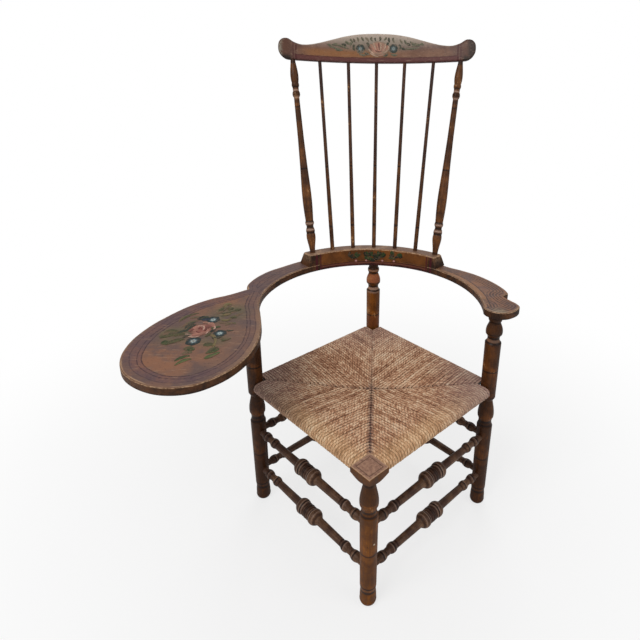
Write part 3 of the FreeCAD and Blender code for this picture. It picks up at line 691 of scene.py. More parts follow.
def rush_quarter(turn, low_gap, high_gap, front=0):
    """Grids and marks of all the cords of one quarter of the seat.

    Each ring of a cord is an oval: its cosine lies in the plane of the path, and its sine, made
    wider, across it. The ring is then turned about the middle of the seat. front is the sign of
    the side that meets the front seam, where the cords sink deepest.
    """
    low = -rail_line + low_gap + cord_radius
    high = rail_line - high_gap - cord_radius
    count = int(round((high - low) / cord_pitch)) + 1
    side = np.linspace(low, high, count)
    side[1:-1] += dice.normal(0, 0.0002, count - 2)
    dip = dice.uniform(0.0005, 0.0014, count)
    dip = np.where(side * front > 0, dip + 0.0012, dip)
    path = rush_path(np.abs(side) - dice.uniform(0.0005, 0.0040, count), dip)
    rows = path.shape[1]
    step = np.gradient(path, axis=1)
    step /= np.linalg.norm(step, axis=-1, keepdims=True)
    along = np.concatenate([np.zeros((count, 1)),
                            np.cumsum(np.linalg.norm(np.diff(path, axis=1), axis=-1), axis=1)], 1)
    waver = np.sin(along * dice.uniform(25, 60, (count, 1)) + dice.uniform(0, 6, (count, 1)))
    thick = cord_radius * (1.02 + dice.normal(0, 0.018, (count, 1)) + 0.05 * waver)
    thick[:, [0, -1]] *= 0.55
    round_share = (np.arange(cord_sides) + 0.5) / cord_sides
    angle = 2 * pi * round_share[None, None, :]
    out_x = path[..., 0, None] + thick[..., None] * np.cos(angle) * step[..., 1, None]
    out_z = path[..., 1, None] - thick[..., None] * np.cos(angle) * step[..., 0, None]
    out_y = side[:, None, None] + 0.0003 * waver[..., None]
    out_y = out_y + cord_oval * thick[..., None] * np.sin(angle) + 0 * out_x
    x = seat_x + out_x * cos(turn) - out_y * sin(turn)
    y = seat_y + out_x * sin(turn) + out_y * cos(turn)
    grid = np.stack([x, y, out_z], axis=-1)
    tone = dice.normal(0.5, 0.045, (count, 1, 1)) + 0 * out_x
    lay = np.where(side < 0, -1, 1)[:, None, None]
    spot = np.stack([along[..., None] + 0 * out_x, round_share * lay + 0 * out_x, tone], axis=-1)
    seam = np.exp(-((path[..., 0] - np.abs(side)[:, None]) / 0.009) ** 2)
    # painted shade: the rows under the seat take a fixed share of the seam's dark colour
    seam[:, under_row:] = 0.35
    seam = seam[..., None] + 0 * out_x
    return grid, spot, seam


print("a cord every", cord_pitch, "m")

# %% [markdown]
# The seat is four such quarters, each turned a quarter further. They stop short of the posts,
# and the two in front leave a little more room for the square head. The twist of the cords
# turns the other way on the other side of each quarter's middle.

# %% The woven seat
corner_gap = 0.0215
front_gap = 0.0300
quarters = [rush_quarter(radians(45), corner_gap, corner_gap),
            rush_quarter(radians(135), corner_gap, corner_gap),
            rush_quarter(radians(225), corner_gap, front_gap, 1),
            rush_quarter(radians(315), front_gap, corner_gap, -1)]
grids, spots, seams = [np.concatenate(part) for part in zip(*quarters)]
rush = grid_mesh("rush_cords", grids, wrap=True, marks={"cord": spots, "seam": seams})
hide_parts("rush_seat")
print(len(grids), "cords,", len(rush.data.polygons), "faces")

# %% [markdown]
# Rush is dull and fibrous. Each cord has its own tone, and short pale and dark flecks run along
# its twist; the longer dashes among them are partly the fibre's colour and partly painted
# highlights on the strands. The creases of the twist and the sides where cords touch are painted
# darker, as painted shade. The pattern reads the cord's own length and its way round, so that it
# follows every cord over the edge.

# %% Twist and fibres of the rush
make = Finish("twisted rush")
length, way_round, own_tone = make.parts(make.mark("cord"))
spiral = make.math("MULTIPLY_ADD", length, 14.0, way_round)


def on_cord(lengthwise, round_it, apart):
    """Place on a cord: its length, its spiral and its own tone, each times a scale."""
    values = {0: make.times(length, lengthwise), 1: make.times(spiral, round_it),
              2: make.times(own_tone, apart)}
    return make.add("CombineXYZ", values).outputs[0]


fibre_and_glint_dashes = make.noise(on_cord(92.0, 3.8, 420.0), 1.0, 1.0, 0.4)
flecks = make.noise(on_cord(210.0, 12.0, 300.0), 1.0, 3.0, 0.7, 0.6)
patch = make.noise(make.place, 16.0, 3.0, 0.6)
strand = make.math("MULTIPLY_ADD", length, 640.0, make.times(way_round, 12.566))
strand = make.math("MULTIPLY_ADD", make.noise(make.place, 90.0, 2.0), 6.0, strand)
twist = make.math("MULTIPLY_ADD", make.math("SINE", strand), 0.5, 0.5)
tone = own_tone
for pattern, share, middle in ((flecks, 1.2, -0.60), (fibre_and_glint_dashes, 0.7, -0.34), (patch, 0.6, -0.30)):
    tone = make.math("ADD", tone, make.math("MULTIPLY_ADD", pattern, share, middle))
ramp = make.add("ValToRGB", {"Fac": tone})
stops = ramp.color_ramp.elements
for at, colour in ((0.24, (134, 88, 62)), (0.46, (196, 144, 110)), (0.66, (238, 200, 164))):
    stops.new(at).color = paint(*colour)
stops[0].color = paint(70, 46, 34)
stops[-1].color = paint(250, 226, 198)
# painted shade: darker in the creases of the twist and along the sides where neighbouring cords touch
lateral = make.math("ABSOLUTE", make.math("SINE", make.times(way_round, 2 * pi)))
colour = make.layers(ramp.outputs["Color"],
                     (make.step(twist, 0.0, 0.5, 0.40, 0.0), paint(96, 66, 48)),
                     (make.step(lateral, 0.66, 0.97, 0.0, 0.75), paint(78, 50, 38)))
print("twist of the cords wired")

# %% [markdown]
# The seat shows its use. The cords near the front rails are golden, and the side corners and the
# back have greyed. The seams are painted darker as painted shade, with darker spots deep in them,
# mostly in front and in the middle. The cords are also painted darker as painted shade under the
# seat and where they turn under the rails.

# %% Wear of the seat
seam = make.mark("seam", "Fac")
plan = make.plan(seat_x, seat_y)
first = make.math("ABSOLUTE", make.math("ADD", plan[0], plan[1]))
second = make.math("ABSOLUTE", make.math("SUBTRACT", plan[0], plan[1]))
near_rail = make.step(make.math("MAXIMUM", first, second), 0.245, 0.315)
golden = make.times(near_rail, make.step(plan[1], -0.16, 0.04, 0.30, 0.0))
sideways = make.step(make.math("ABSOLUTE", plan[0]), 0.13, 0.30, 0.0, 0.58)
backward = make.step(plan[1], 0.10, 0.30, 0.0, 0.42)
in_front = make.step(plan[1], -0.06, 0.0, 1.0, 0.0)
centre = make.step(make.away((seat_x, seat_y, 0.377)), 0.008, 0.030, 1.0, 0.0)
seam_share = make.math("MAXIMUM", make.math("MAXIMUM", in_front, centre), 0.30)
# painted shade along the seams where the quarters meet, stronger in front and in the middle
seam_shade = make.times(make.step(seam, 0.02, 0.7, 0.0, 0.55), seam_share)
seam_spots = make.step(make.noise(make.place, 95.0, 3.0, 0.7), 0.40, 0.58, 0.25, 0.9)
deep = make.times(make.step(seam, 0.72, 1.0), seam_spots, seam_share)
# painted shade: the cords darken below the rails' level, where they turn under the seat
shadow = make.step(plan[2], 0.3660, 0.3800, 0.62, 0.0)
colour = make.layers(colour, (golden, paint(222, 184, 132)), (sideways, paint(140, 120, 122)),
                     (backward, paint(154, 132, 128)), (seam_shade, paint(116, 88, 84)),
                     (deep, paint(50, 36, 36)), (shadow, paint(84, 58, 38)))
skin = make.bump(twist, 0.8, 0.0010)
skin = make.bump(flecks, 0.4, 0.0008, skin)
wear(rush, make.close(colour, make.step(flecks, 0.2, 0.8, 0.7, 0.92), skin))
print("rush finished")

# %% [markdown]
# The two arms are flat boards, and their painting follows their edges: dark pinstripes, and a
# plum band between them. A pattern like that has to know how far each point lies from the edge.
# So the top of each arm gets a thin coat of paint as its own surface, and every point of it
# carries two measures: its distance from the outer edge, and from the bow's inner edge.

# %% Places on the arms
hand_outer = [(30.0, 0.72), (36.0, 0.68), (43.6, 0.62), (51.3, 0.77), (58.2, 0.93),
              (66.0, 1.075), (74.1, 1.195), (79.0, 1.235), (81.6, 1.22)]
hand_rest = [(83.4, 0.94), (86.0, 1.0), (88.6, 1.14), (91.0, 1.28), (93.2, 1.34), (95.6, 1.26),
             (98.0, 1.08), (99.9, 0.87), (100.9, 0.65), (100.9, 0.43), (99.8, 0.21), (97.4, 0.03),
             (93.5, 0.0)]
writing_outer = [(30.0, 0.855), (40.0, 0.84), (52.0, 0.87), (58.0, 0.945), (65.0, 0.98),
                 (72.0, 0.965), (76.5, 0.915), (79.0, 0.84)]
tablet_rim = [(0.452, 0.929), (0.607, 0.863), (0.746, 0.773), (0.857, 0.661), (0.949, 0.533),
              (1.0, 0.350), (0.972, 0.230), (0.885, 0.125), (0.735, 0.048), (0.530, 0.006),
              (0.345, 0.022), (0.180, 0.098), (0.062, 0.218), (0.010, 0.375), (0.022, 0.520),
              (0.089, 0.700), (0.134, 0.800)]
tablet_wide = 0.272
tablet_deep = 0.437
tablet_inner_x = arm_x - bow_radius + 0.041
tablet_front_y = arm_y + 0.051 - tablet_deep


def bow_place(angle, radius, side):
    """Point at an angle from the back, at a radius from the bow's centre; side is 1 or -1."""
    turn = np.radians(angle)
    return np.stack([arm_x + side * radius * np.sin(turn), arm_y + radius * np.cos(turn)], -1)


def from_shares(shares, side):
    """Points of an edge from pairs of angle and share of the arm's width."""
    shares = np.array(shares)
    return bow_place(shares[:, 0], bow_radius + shares[:, 1] * arm_width, side)


def distance_to(places, line):
    """Shortest distance from each place to a line of straight pieces.

    The foot of the square on each piece is held between that piece's two ends.
    """
    span = np.diff(line, axis=0)
    size = (span ** 2).sum(-1)
    nearest = np.full(len(places), 9.0)
    for start in range(0, len(places), 4000):
        offset = places[start:start + 4000, None, :] - line[None, :-1]
        share = np.clip((offset * span).sum(-1) / size, 0, 1)
        away = np.linalg.norm(offset - share[..., None] * span, axis=-1)
        nearest[start:start + 4000] = away.min(1)
    return nearest


def inset(line, distance, side):
    """A line moved sideways, square to its own direction."""
    ahead = np.gradient(line, axis=0)
    ahead /= np.linalg.norm(ahead, axis=-1, keepdims=True)
    return line + side * distance * np.stack([ahead[:, 1], -ahead[:, 0]], axis=-1)


print("tablet's inner edge at x", round(tablet_inner_x, 4))

# %% [markdown]
# Each coat is two grids that share one straight line across the arm at the notch. On the bow the
# grid runs from the outer edge to the inner one. On the tablet and the hand rest it runs from
# the rim to a hub in the middle, like the rings of a target.

# %% Paint coats on the arms
coat_lift = 0.00015
coat_inset = 0.0024


def coat_marks(x, y, rim, bow):
    """Distances of each point from the outer edge and the bow's inner edge, and a zero."""
    places = np.stack([x.ravel(), y.ravel()], axis=-1)
    outer = distance_to(places, rim).reshape(x.shape)
    inner = distance_to(places, bow).reshape(x.shape)
    return np.stack([outer, inner, 0 * outer], axis=-1)


def coat_mesh(name, x, y, rim, bow):
    """One coat: a grid of places, lifted a little above the top of the arm."""
    points = np.stack([x, y, np.full(x.shape, arm_top + coat_lift)], axis=-1)
    piece = grid_mesh(name, points, marks={"spot": coat_marks(x, y, rim, bow)[None]})
    merge_doubles(piece)
    if sum(p.normal.z for p in piece.data.polygons) < 0:
        piece.data.flip_normals()
    return piece


def arm_coats(names, side, outer, rest, inner_end, hub):
    """The two coats of an arm: along the bow, and round the hub of its wide end.

    Across the bow, points are even shares between its two edges. On the wide end they are
    shares of the way from the rim to the hub, to the power 1.35, so they are closer at the rim.
    """
    outer_line = through(outer, 70)
    share = np.linspace(0, 1, 8)[1:-1, None]
    notch_line = outer_line[-1] * (1 - share) + rest[0] * share
    rest_line = through(rest, 200)
    rim = np.concatenate([outer_line, notch_line, rest_line])
    begin = len(outer_line) + len(notch_line)
    bow_line = bow_place(np.linspace(inner_end, 25.0, 90), bow_radius, side)
    moved = inset(rim, coat_inset, side)
    outer_side = moved[:begin + 1]
    inner_side = bow_place(np.linspace(30.0, inner_end, begin + 1), bow_radius + coat_inset, side)
    across = np.linspace(0, 1, 29)[None, :, None]
    board = outer_side[:, None] * (1 - across) + inner_side[:, None] * across
    seam = outer_side[-1] * (1 - across[0]) + inner_side[-1] * across[0]
    loop = np.concatenate([moved[begin:], seam[::-1][1:]])
    loop[len(rim) - begin - 1] = inner_side[-1]
    inward = np.linspace(0, 1, 46)[None, :, None] ** 1.35
    wide = loop[:, None] * (1 - inward) + np.array(hub) * inward
    first = coat_mesh(names[0], board[..., 0], board[..., 1], rim, bow_line)
    second = coat_mesh(names[1], wide[..., 0], wide[..., 1], rim, bow_line)
    return first, second


neck_angle = 84.0
rest_angle = 93.5
tablet_points = [(tablet_inner_x - u * tablet_wide, tablet_front_y + v * tablet_deep)
                 for u, v in tablet_rim]
tablet_points = np.array([from_shares([(80.6, 0.755)], -1)[0]] + tablet_points
                         + [bow_place(neck_angle, bow_radius, -1)])
tablet_hub = (tablet_inner_x - 0.135, tablet_front_y + 0.215)
rest_hub = bow_place(92.0, bow_radius + 0.6 * arm_width, 1)
writing_coat, tablet_coat = arm_coats(("writing_arm_paint", "tablet_paint"), -1,
                                      from_shares(writing_outer, -1), tablet_points,
                                      neck_angle, tablet_hub)
hand_coat, rest_coat = arm_coats(("hand_arm_paint", "hand_rest_paint"), 1,
                                 from_shares(hand_outer, 1), from_shares(hand_rest, 1),
                                 rest_angle, rest_hub)

# %% [markdown]
# The crest is a slab that was bent round the sitter's back, with a hump in the middle and an ear
# at each end. Its section is a loop: up the front, over the rounded top edge, down the back and
# round the lower edge. The loop is carried along the outline, and only then bent and tilted.

# %% Bend of the crest
crest_length = 0.268
crest_tall = 0.078
crest_thick = 0.017
edge_round = 0.0045
front_roll = 0.009
roll_change = 0.0045
crest_bow = [(0.0, 1.0), (0.18, 0.968), (0.34, 0.87), (0.48, 0.73), (0.60, 0.605), (0.70, 0.525),
             (0.79, 0.505), (0.865, 0.575), (0.928, 0.685), (0.975, 0.655), (1.005, 0.54),
             (1.014, 0.37), (1.008, 0.20), (0.984, 0.06), (0.94, -0.035), (0.885, -0.052)]


def bent(x, z, share):
    """Places on the crest: x along it, z up it, share 0 at its front face and 1 at its back.

    Each point lies on an arc about the bend's centre, whose radius grows with the square of the
    height, so the top rolls back; the whole then leans back with the comb.
    """
    roll = (z / crest_tall) ** 2 * (front_roll - roll_change * share)
    radius = crest_bend + (share - 0.5) * crest_thick + roll
    depth = np.sqrt(radius ** 2 - x ** 2) - crest_bend
    place = np.stack([x, 0 * x, 0 * x], -1) + np.array(crest_low)
    place = place + depth[..., None] * np.array(crest_behind) + z[..., None] * np.array(crest_up)
    return place + np.array([seat_x, seat_y, 0])


print("crest bent on a radius of", crest_bend)

# %% [markdown]
# The outline is symmetrical, so only one half of the top is given and the other is its mirror
# image. The loop of the section goes round the board with a quarter circle at each edge.

# %% The crest's board
half_top = through([(x * crest_length, z * crest_tall) for x, z in crest_bow], 110)
top_line = np.concatenate([half_top[::-1] * [-1, 1], half_top[1:]])
low_share = np.linspace(-1, 1, len(top_line))
low_line = np.stack([low_share * top_line[-1, 0], top_line[-1, 1] + 0 * low_share], -1)
ring = np.concatenate([top_line, low_line[::-1][1:-1]])
ahead = np.roll(ring, -1, axis=0) - np.roll(ring, 1, axis=0)
ahead /= np.linalg.norm(ahead, axis=-1, keepdims=True)
inward = np.stack([ahead[:, 1], -ahead[:, 0]], axis=-1)
count = len(top_line)
top_in = inward[:count]
low_in = np.concatenate([inward[[count - 1]], inward[count:], inward[[0]]])[::-1]
quarter = np.linspace(0, pi / 2, 6)
rim_inset = edge_round * (1 - np.sin(quarter))
rim_depth = edge_round * (1 - np.cos(quarter)) / crest_thick
rim_inset = np.concatenate([rim_inset, rim_inset[::-1]])
rim_depth = np.concatenate([rim_depth, 1 - rim_depth[::-1]])
rise = np.linspace(0, 1, 15)[1:-1][None, :, None]
top_rim = top_line[:, None] + top_in[:, None] * rim_inset[None, :, None]
low_rim = low_line[:, None] + low_in[:, None] * rim_inset[None, :, None]
front = low_rim[:, :1] * (1 - rise) + top_rim[:, :1] * rise
back = top_rim[:, -1:] * (1 - rise) + low_rim[:, -1:] * rise
flat = np.concatenate([front, top_rim, back, low_rim[:, ::-1]], axis=1)
depth = np.concatenate([0 * rise[0, :, 0], rim_depth, 0 * rise[0, :, 0] + 1, rim_depth[::-1]])
depth = np.broadcast_to(depth, flat.shape[:2])
edge = distance_to(flat.reshape(-1, 2), np.concatenate([ring, ring[:1]])).reshape(depth.shape)
crest = grid_mesh("crest", bent(flat[..., 0], flat[..., 1], depth), wrap=True, closed=True,
                  marks={"flat": np.stack([flat[..., 0], flat[..., 1], edge], axis=-1)[None]})
merge_doubles(crest, 2e-5)
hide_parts("crest_rail")

# %% [markdown]
# The arms were painted in layers: a brown ground with ochre showing through in the middle of the
# tablet, a plum band along the edge, and thin dark lines that run inside the band and end it.
# Elbows have rubbed the rim down to pale wood. All of that is keyed on the distance from the
# edge, with a little waver, because a brush drew it.

# %% Finish of the paint coats
plum = paint(86, 62, 76)
plum_dark = paint(50, 30, 42)
ground_brown = paint(102, 80, 74)
ground_warm = paint(124, 92, 76)
ochre = paint(141, 97, 72)
pale_wood = paint(188, 152, 120)


def coat_finish(name, glows, lines, band, band_share, rim_tone, slope=0.0, rub=0.0035,
                border=None, grounds=(ground_brown, ground_warm), line_tone=plum_dark,
                inner_strip=None):
    """Paint on the top of an arm: a ground with soft glows, a band, lines and a rubbed rim.

    glows are (x, y, reach, colour, share), and lines (measure, distance, half width, share).
    slope brings the lines nearer to the edge from the tablet's far end toward the bow. border
    is the width and colour of a strip along the bow's inner edge, and inner_strip the colour
    of one outside the tablet's band, on the side of the sitter.
    """
    make = Finish(name)
    spot = make.parts(make.mark("spot"))
    waver = make.math("MULTIPLY_ADD", make.noise(make.place, 24.0, 2.0), 0.006, -0.003)
    outer = make.math("ADD", spot[0], waver)
    inner = make.math("ADD", spot[1], waver)
    rim = make.math("MINIMUM", outer, inner)
    along = make.math("SUBTRACT", make.parts(make.place)[0], seat_x - 0.455)
    spread = make.math("MINIMUM", make.math("MULTIPLY_ADD", along, slope, 0.98), 1.38)
    edge = make.times(rim, spread)
    mottle = make.noise(make.place, 17.0, 5.0, 0.62, 0.4)
    fine = make.noise(make.place, 170.0, 4.0, 0.68)
    streak = make.noise(make.scaled(make.place, (40, 260, 40)), 1.0, 3.0, 0.6)
    colour = make.blend(make.step(mottle, 0.36, 0.64), *grounds)
    for x, y, reach, tone, most in glows:
        glow = make.step(make.away((x, y, arm_top)), reach * 0.25, reach, most, 0.0)
        colour = make.blend(make.times(glow, make.step(mottle, 0.3, 0.6)), colour, tone)
    worn = make.step(fine, 0.40, 0.66, 1.0, 0.45)
    inside = make.band(edge, band[0], band[1], 0.0014)
    inside = make.times(inside, make.step(along, 0.125, 0.185, 1.0, 0.45))
    deep = make.math("SUBTRACT", make.parts(make.place)[1], seat_y - 0.160)
    front = make.step(make.math("MULTIPLY_ADD", deep, -0.9, along), 0.05, 0.12, 0.0, 0.85)
    bare = make.times(front, make.step(edge, 0.0140, 0.0165, 1.0, 0.0))
    inside = make.times(inside, make.math("SUBTRACT", 1.0, bare))
    colour = make.blend(make.times(inside, worn, band_share), colour, plum)
    if inner_strip is not None:
        beside = make.step(along, 0.145, 0.215, 0.0, 0.62)
        behind = make.step(make.parts(make.place)[1], seat_y - 0.02, seat_y + 0.07, 1.0, 0.25)
        strip = make.step(edge, 0.0125, 0.0155, 1.0, 0.0)
        strip = make.times(strip, beside, behind, worn)
        colour = make.blend(strip, colour, inner_strip)
    if border is not None:
        strip = make.step(inner, border[0] - 0.001, border[0] + 0.001, 0.75, 0.0)
        colour = make.blend(make.times(strip, worn), colour, border[1])
    measures = {"outer": outer, "inner": inner, "edge": edge}
    for kind, at, half, share in lines:
        line = make.band(measures[kind], at - half, at + half, 0.0007)
        colour = make.blend(make.times(line, worn, share), colour, line_tone)
    rubbing = make.math("MULTIPLY_ADD", mottle, 0.012, rim)
    rubbing = make.step(rubbing, rub + 0.003, rub + 0.0065, 0.9, 0.0)
    colour = make.layers(colour, (make.step(fine, 0.30, 0.42, 0.45, 0.0), plum_dark),
                         (make.step(streak, 0.56, 0.75, 0.0, 0.35), pale_wood),
                         (rubbing, rim_tone))
    skin = make.bump(fine, 0.3, 0.0005)
    skin = make.bump(streak, 0.2, 0.0005, skin)
    gloss = make.step(mottle, 0.3, 0.7, 0.42, 0.58)
    return make.close(colour, gloss, skin, Coat_Weight=0.06, Coat_Roughness=0.4)


print("coat finish ready")

# %% [markdown]
# The tablet has three lines along its edge, a plum band and glows of ochre and faded green in
# the middle. The hand rest is browner, with dark lines nested one inside the other.

# %% Colours of the tablet and the hand rest
tablet_lines = [("edge", 0.0165, 0.0007, 0.8), ("edge", 0.0310, 0.0010, 0.9),
                ("edge", 0.0400, 0.0012, 0.95), ("inner", 0.0095, 0.0009, 0.9)]
green_haze = paint(86, 92, 66)
tablet_glows = [(seat_x - 0.425, seat_y - 0.285, 0.120, ochre, 0.85),
                (seat_x - 0.380, seat_y - 0.030, 0.085, ochre, 0.80),
                (seat_x - 0.335, seat_y - 0.255, 0.055, ochre, 0.50),
                (seat_x - 0.428, seat_y - 0.190, 0.062, green_haze, 0.72),
                (seat_x - 0.338, seat_y - 0.080, 0.068, green_haze, 0.70),
                (seat_x - 0.340, seat_y - 0.205, 0.048, green_haze, 0.50)]
tablet_paint = coat_finish("tablet paint", tablet_glows, tablet_lines, (0.0060, 0.0400), 0.46,
                           pale_wood, 1.56, inner_strip=paint(152, 118, 92))
wear(tablet_coat, tablet_paint)
wear(writing_coat, tablet_paint)
hand_lines = [("inner", 0.0165, 0.0016, 1.0), ("outer", 0.0105, 0.0017, 1.0),
              ("outer", 0.0180, 0.0018, 1.0), ("outer", 0.0255, 0.0018, 1.0),
              ("outer", 0.0330, 0.0017, 1.0), ("outer", 0.0405, 0.0013, 0.7)]
hand_glows = [(seat_x + 0.302, seat_y - 0.052, 0.034, paint(160, 144, 120), 0.85)]
hand_paint = coat_finish("hand rest paint", hand_glows, hand_lines, (0.0160, 0.060), 0.10,
                         paint(176, 146, 114), rub=0.0040, border=(0.0155, paint(158, 110, 70)),
                         grounds=(paint(102, 68, 56), paint(142, 98, 70)),
                         line_tone=paint(48, 28, 26))
wear(hand_coat, hand_paint)
wear(rest_coat, hand_paint)
print("paint on the arms finished")

# %% [markdown]
# The edges of the arms and the riser stay the solid model's own. Below the rubbed rim they are
# dark brown, but between the two pairs of dark red stripes the bow's inner face is an ochre
# panel over a dark red foot. The panel is curved, so the stripes stand at angles about the
# bow's centre, and only points near the bow's inner radius take them.

# %% Finish of the bow's edges and the riser
def bow_finish(name):
    """Paint by angle and height on the bow's inner face, and worn brown elsewhere."""
    make = Finish(name)
    plan = make.plan(arm_x, arm_y)
    height = plan[2]
    squares = make.math("ADD", make.times(plan[0], plan[0]), make.times(plan[1], plan[1]))
    reach = make.math("SQRT", squares)
    angle = make.math("ARCTAN2", plan[0], plan[1])
    mottle = make.noise(make.place, 26.0, 5.0, 0.6, 0.3)
    fine = make.noise(make.place, 190.0, 4.0, 0.7)
    wobble = make.math("MULTIPLY_ADD", mottle, 0.004, -0.002)
    height = make.math("ADD", height, wobble)
    colour = make.blend(make.step(mottle, 0.38, 0.62), paint(46, 28, 17), paint(88, 54, 30))
    colour = make.blend(make.step(height, 0.616, 0.622, 0.8, 0.0), colour, paint(40, 24, 18))
    face = make.step(reach, bow_radius + 0.0016, bow_radius + 0.0024, 1.0, 0.0)
    panel = make.band(angle, radians(-33.2), radians(35.2), 0.001)
    panel = make.times(face, panel)
    ochre_tone = make.blend(make.step(mottle, 0.35, 0.65), paint(88, 50, 18), paint(118, 70, 28))
    red_tone = make.blend(make.step(mottle, 0.4, 0.6), paint(50, 22, 20), paint(78, 36, 30))
    inside = make.blend(make.step(height, 0.6222, 0.6236), red_tone, paint(104, 60, 44))
    inside = make.blend(make.step(height, 0.6270, 0.6276), inside, ochre_tone)
    colour = make.blend(panel, colour, inside)
    line = make.band(height, 0.6270, 0.6290, 0.0003)
    colour = make.blend(make.times(line, panel), colour, paint(54, 20, 22))
    for middle, half in ((-35.3, 0.75), (-32.6, 0.35), (34.4, 0.35), (37.2, 0.75)):
        stripe = make.band(angle, radians(middle - half), radians(middle + half), 0.001)
        colour = make.blend(make.times(stripe, face, 0.95), colour, paint(72, 20, 28))
    ends = make.times(make.step(make.math("ABSOLUTE", angle), 0.66, 0.70),
                      make.step(height, 0.640, 0.664, 0.0, 0.45), make.step(fine, 0.36, 0.6))
    # painted light: surfaces that face up are painted lighter
    top = make.step(make.facing(2), 0.6, 0.9, 0.0, 0.8)
    colour = make.layers(colour, (ends, paint(156, 126, 96)), (top, paint(128, 98, 80)))
    rim = make.band(height, 0.6318, 0.6336, 0.0006)
    rim = make.times(rim, make.math("SUBTRACT", 1.0, panel))
    crown = make.band(height, riser_top - 0.0034, riser_top - 0.0002, 0.0006)
    rubbed_off = make.step(fine, 0.38, 0.62, 0.2, 0.9)
    rim = make.times(make.math("MAXIMUM", rim, crown), rubbed_off)
    colour = make.blend(rim, colour, pale_wood)
    colour = make.blend(make.step(fine, 0.30, 0.40, 0.6, 0.0), colour, paint(44, 28, 22))
    skin = make.bump(fine, 0.3, 0.0006)
    return make.close(colour, make.step(fine, 0.2, 0.8, 0.4, 0.62), skin, Coat_Weight=0.04,
                      Coat_Roughness=0.4, Specular_IOR_Level=0.16)


for name in ("writing_arm", "hand_arm", "arm_riser"):
    wear(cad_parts[name], bow_finish(name + " finish"))
print("edges and riser finished")

# %% [markdown]
# The crest carries the finest painting, and its colour changes from top to bottom: a pale grey
# painted highlight on the upper hump, warm ochre below the flowers, and a dark red band along
# the lower edge. Two dark red stripes close the panel at each end, and the ears outside them are
# darker. The finish reads the place on the flat board that the crest was bent from.

# %% Finish of the crest
make = Finish("crest paint")
board = make.parts(make.mark("flat"))
mottle = make.noise(make.place, 22.0, 5.0, 0.62, 0.3)
fine = make.noise(make.place, 180.0, 4.0, 0.7)
streak = make.noise(make.scaled(make.place, (30, 260, 260)), 1.0, 3.0, 0.6)
waver = make.math("MULTIPLY_ADD", mottle, 0.006, -0.003)
across = make.math("ADD", board[0], waver)
wide = make.math("ABSOLUTE", across)
rise = make.math("ADD", board[1], waver)
colour = make.blend(make.step(mottle, 0.36, 0.64), paint(92, 66, 58), paint(122, 92, 78))
left = make.step(across, -0.02, 0.10, 1.0, 0.35)
warm = make.times(make.band(rise, 0.008, 0.030, 0.008),
                  make.step(wide, 0.17, 0.24, 1.0, 0.0), left)
# painted highlight: pale grey towards the top of the hump, where the board rolls back to face up
hump_highlight = make.times(make.step(rise, 0.030, 0.070, 0.0, 0.88),
                      make.step(wide, 0.17, 0.23, 1.0, 0.1))
colour = make.layers(colour, (warm, paint(136, 92, 58)), (hump_highlight, paint(182, 166, 152)))
high = make.math("DIVIDE", make.math("SUBTRACT", rise, 0.046), 0.026)
far = make.math("DIVIDE", wide, 0.145)
cloud = make.math("ADD", make.times(high, high), make.times(far, far))
cloud = make.times(make.step(cloud, 0.2, 1.1, 0.5, 0.0), make.step(fine, 0.3, 0.6, 0.4, 1.0),
                   make.step(make.facing(1), -0.2, 0.2, 1.0, 0.0))
colour = make.blend(cloud, colour, paint(126, 120, 104))
print("ground of the crest painted")

# %% [markdown]
# The ears, the two stripes at each end, the dark red band below and the rim all follow the
# outline of the board, so they are measured from its middle, its foot and its edge. The rim is a
# painted highlight along the top, darker at the ears, and painted shade along the lower edge.

# %% Ears, stripes and rim of the crest
ears = make.step(wide, 0.224, 0.250, 0.0, 0.8)
colour = make.blend(ears, colour, paint(88, 56, 42))
# painted shade: the crest's right end is near-black, and the lower corners of both ears take the same
# colour
low_ear = make.times(make.step(rise, 0.000, 0.014, 1.0, 0.0),
                     make.step(wide, 0.232, 0.244))
end = make.math("MAXIMUM", make.step(across, 0.2450, 0.2580, 0.0, 0.80), low_ear)
colour = make.blend(end, colour, paint(40, 30, 24))
# painted highlight: a pale line along the left ear's edge
ear_edge_highlight = make.times(make.step(across, -0.2660, -0.2560, 0.75, 0.0),
                    make.step(fine, 0.4, 0.6))
colour = make.blend(ear_edge_highlight, colour, paint(150, 146, 130))
between = make.step(wide, 0.2275, 0.2285, 1.0, 0.0)
band = make.times(make.step(rise, 0.0085, 0.0100, 0.88, 0.0), between)
colour = make.blend(band, colour, paint(92, 50, 48))
thin = make.times(make.band(rise, 0.0085, 0.0105, 0.0005), between)
colour = make.blend(make.times(thin, 0.85), colour, paint(70, 26, 26))
for middle, half in ((0.2245, 0.0016), (0.2320, 0.0012)):
    stripe = make.band(wide, middle - half, middle + half, 0.0006)
    colour = make.blend(make.times(stripe, 0.95), colour, paint(70, 28, 28))
# the rim: a painted highlight along the hump's top, darker at the ears, and painted shade along the lower
# edge
rim = make.times(make.step(board[2], 0.0005, 0.0045, 1.0, 0.0),
                 make.step(fine, 0.35, 0.6, 0.3, 0.9), 0.75)
rim_tone = make.blend(make.step(wide, 0.20, 0.24), paint(190, 174, 156), paint(60, 44, 36))
rim_tone = make.blend(make.step(rise, 0.004, 0.012, 1.0, 0.0), rim_tone, paint(34, 14, 14))
colour = make.blend(rim, colour, rim_tone)
colour = make.blend(make.step(streak, 0.55, 0.75, 0.0, 0.3), colour, paint(178, 150, 124))
colour = make.blend(make.step(fine, 0.30, 0.42, 0.5, 0.0), colour, paint(52, 34, 30))
skin = make.bump(fine, 0.3, 0.0005)
skin = make.bump(streak, 0.25, 0.0005, skin)
wear(crest, make.close(colour, make.step(fine, 0.2, 0.8, 0.42, 0.6), skin, Coat_Weight=0.06,
                       Coat_Roughness=0.4))
print("crest finished")

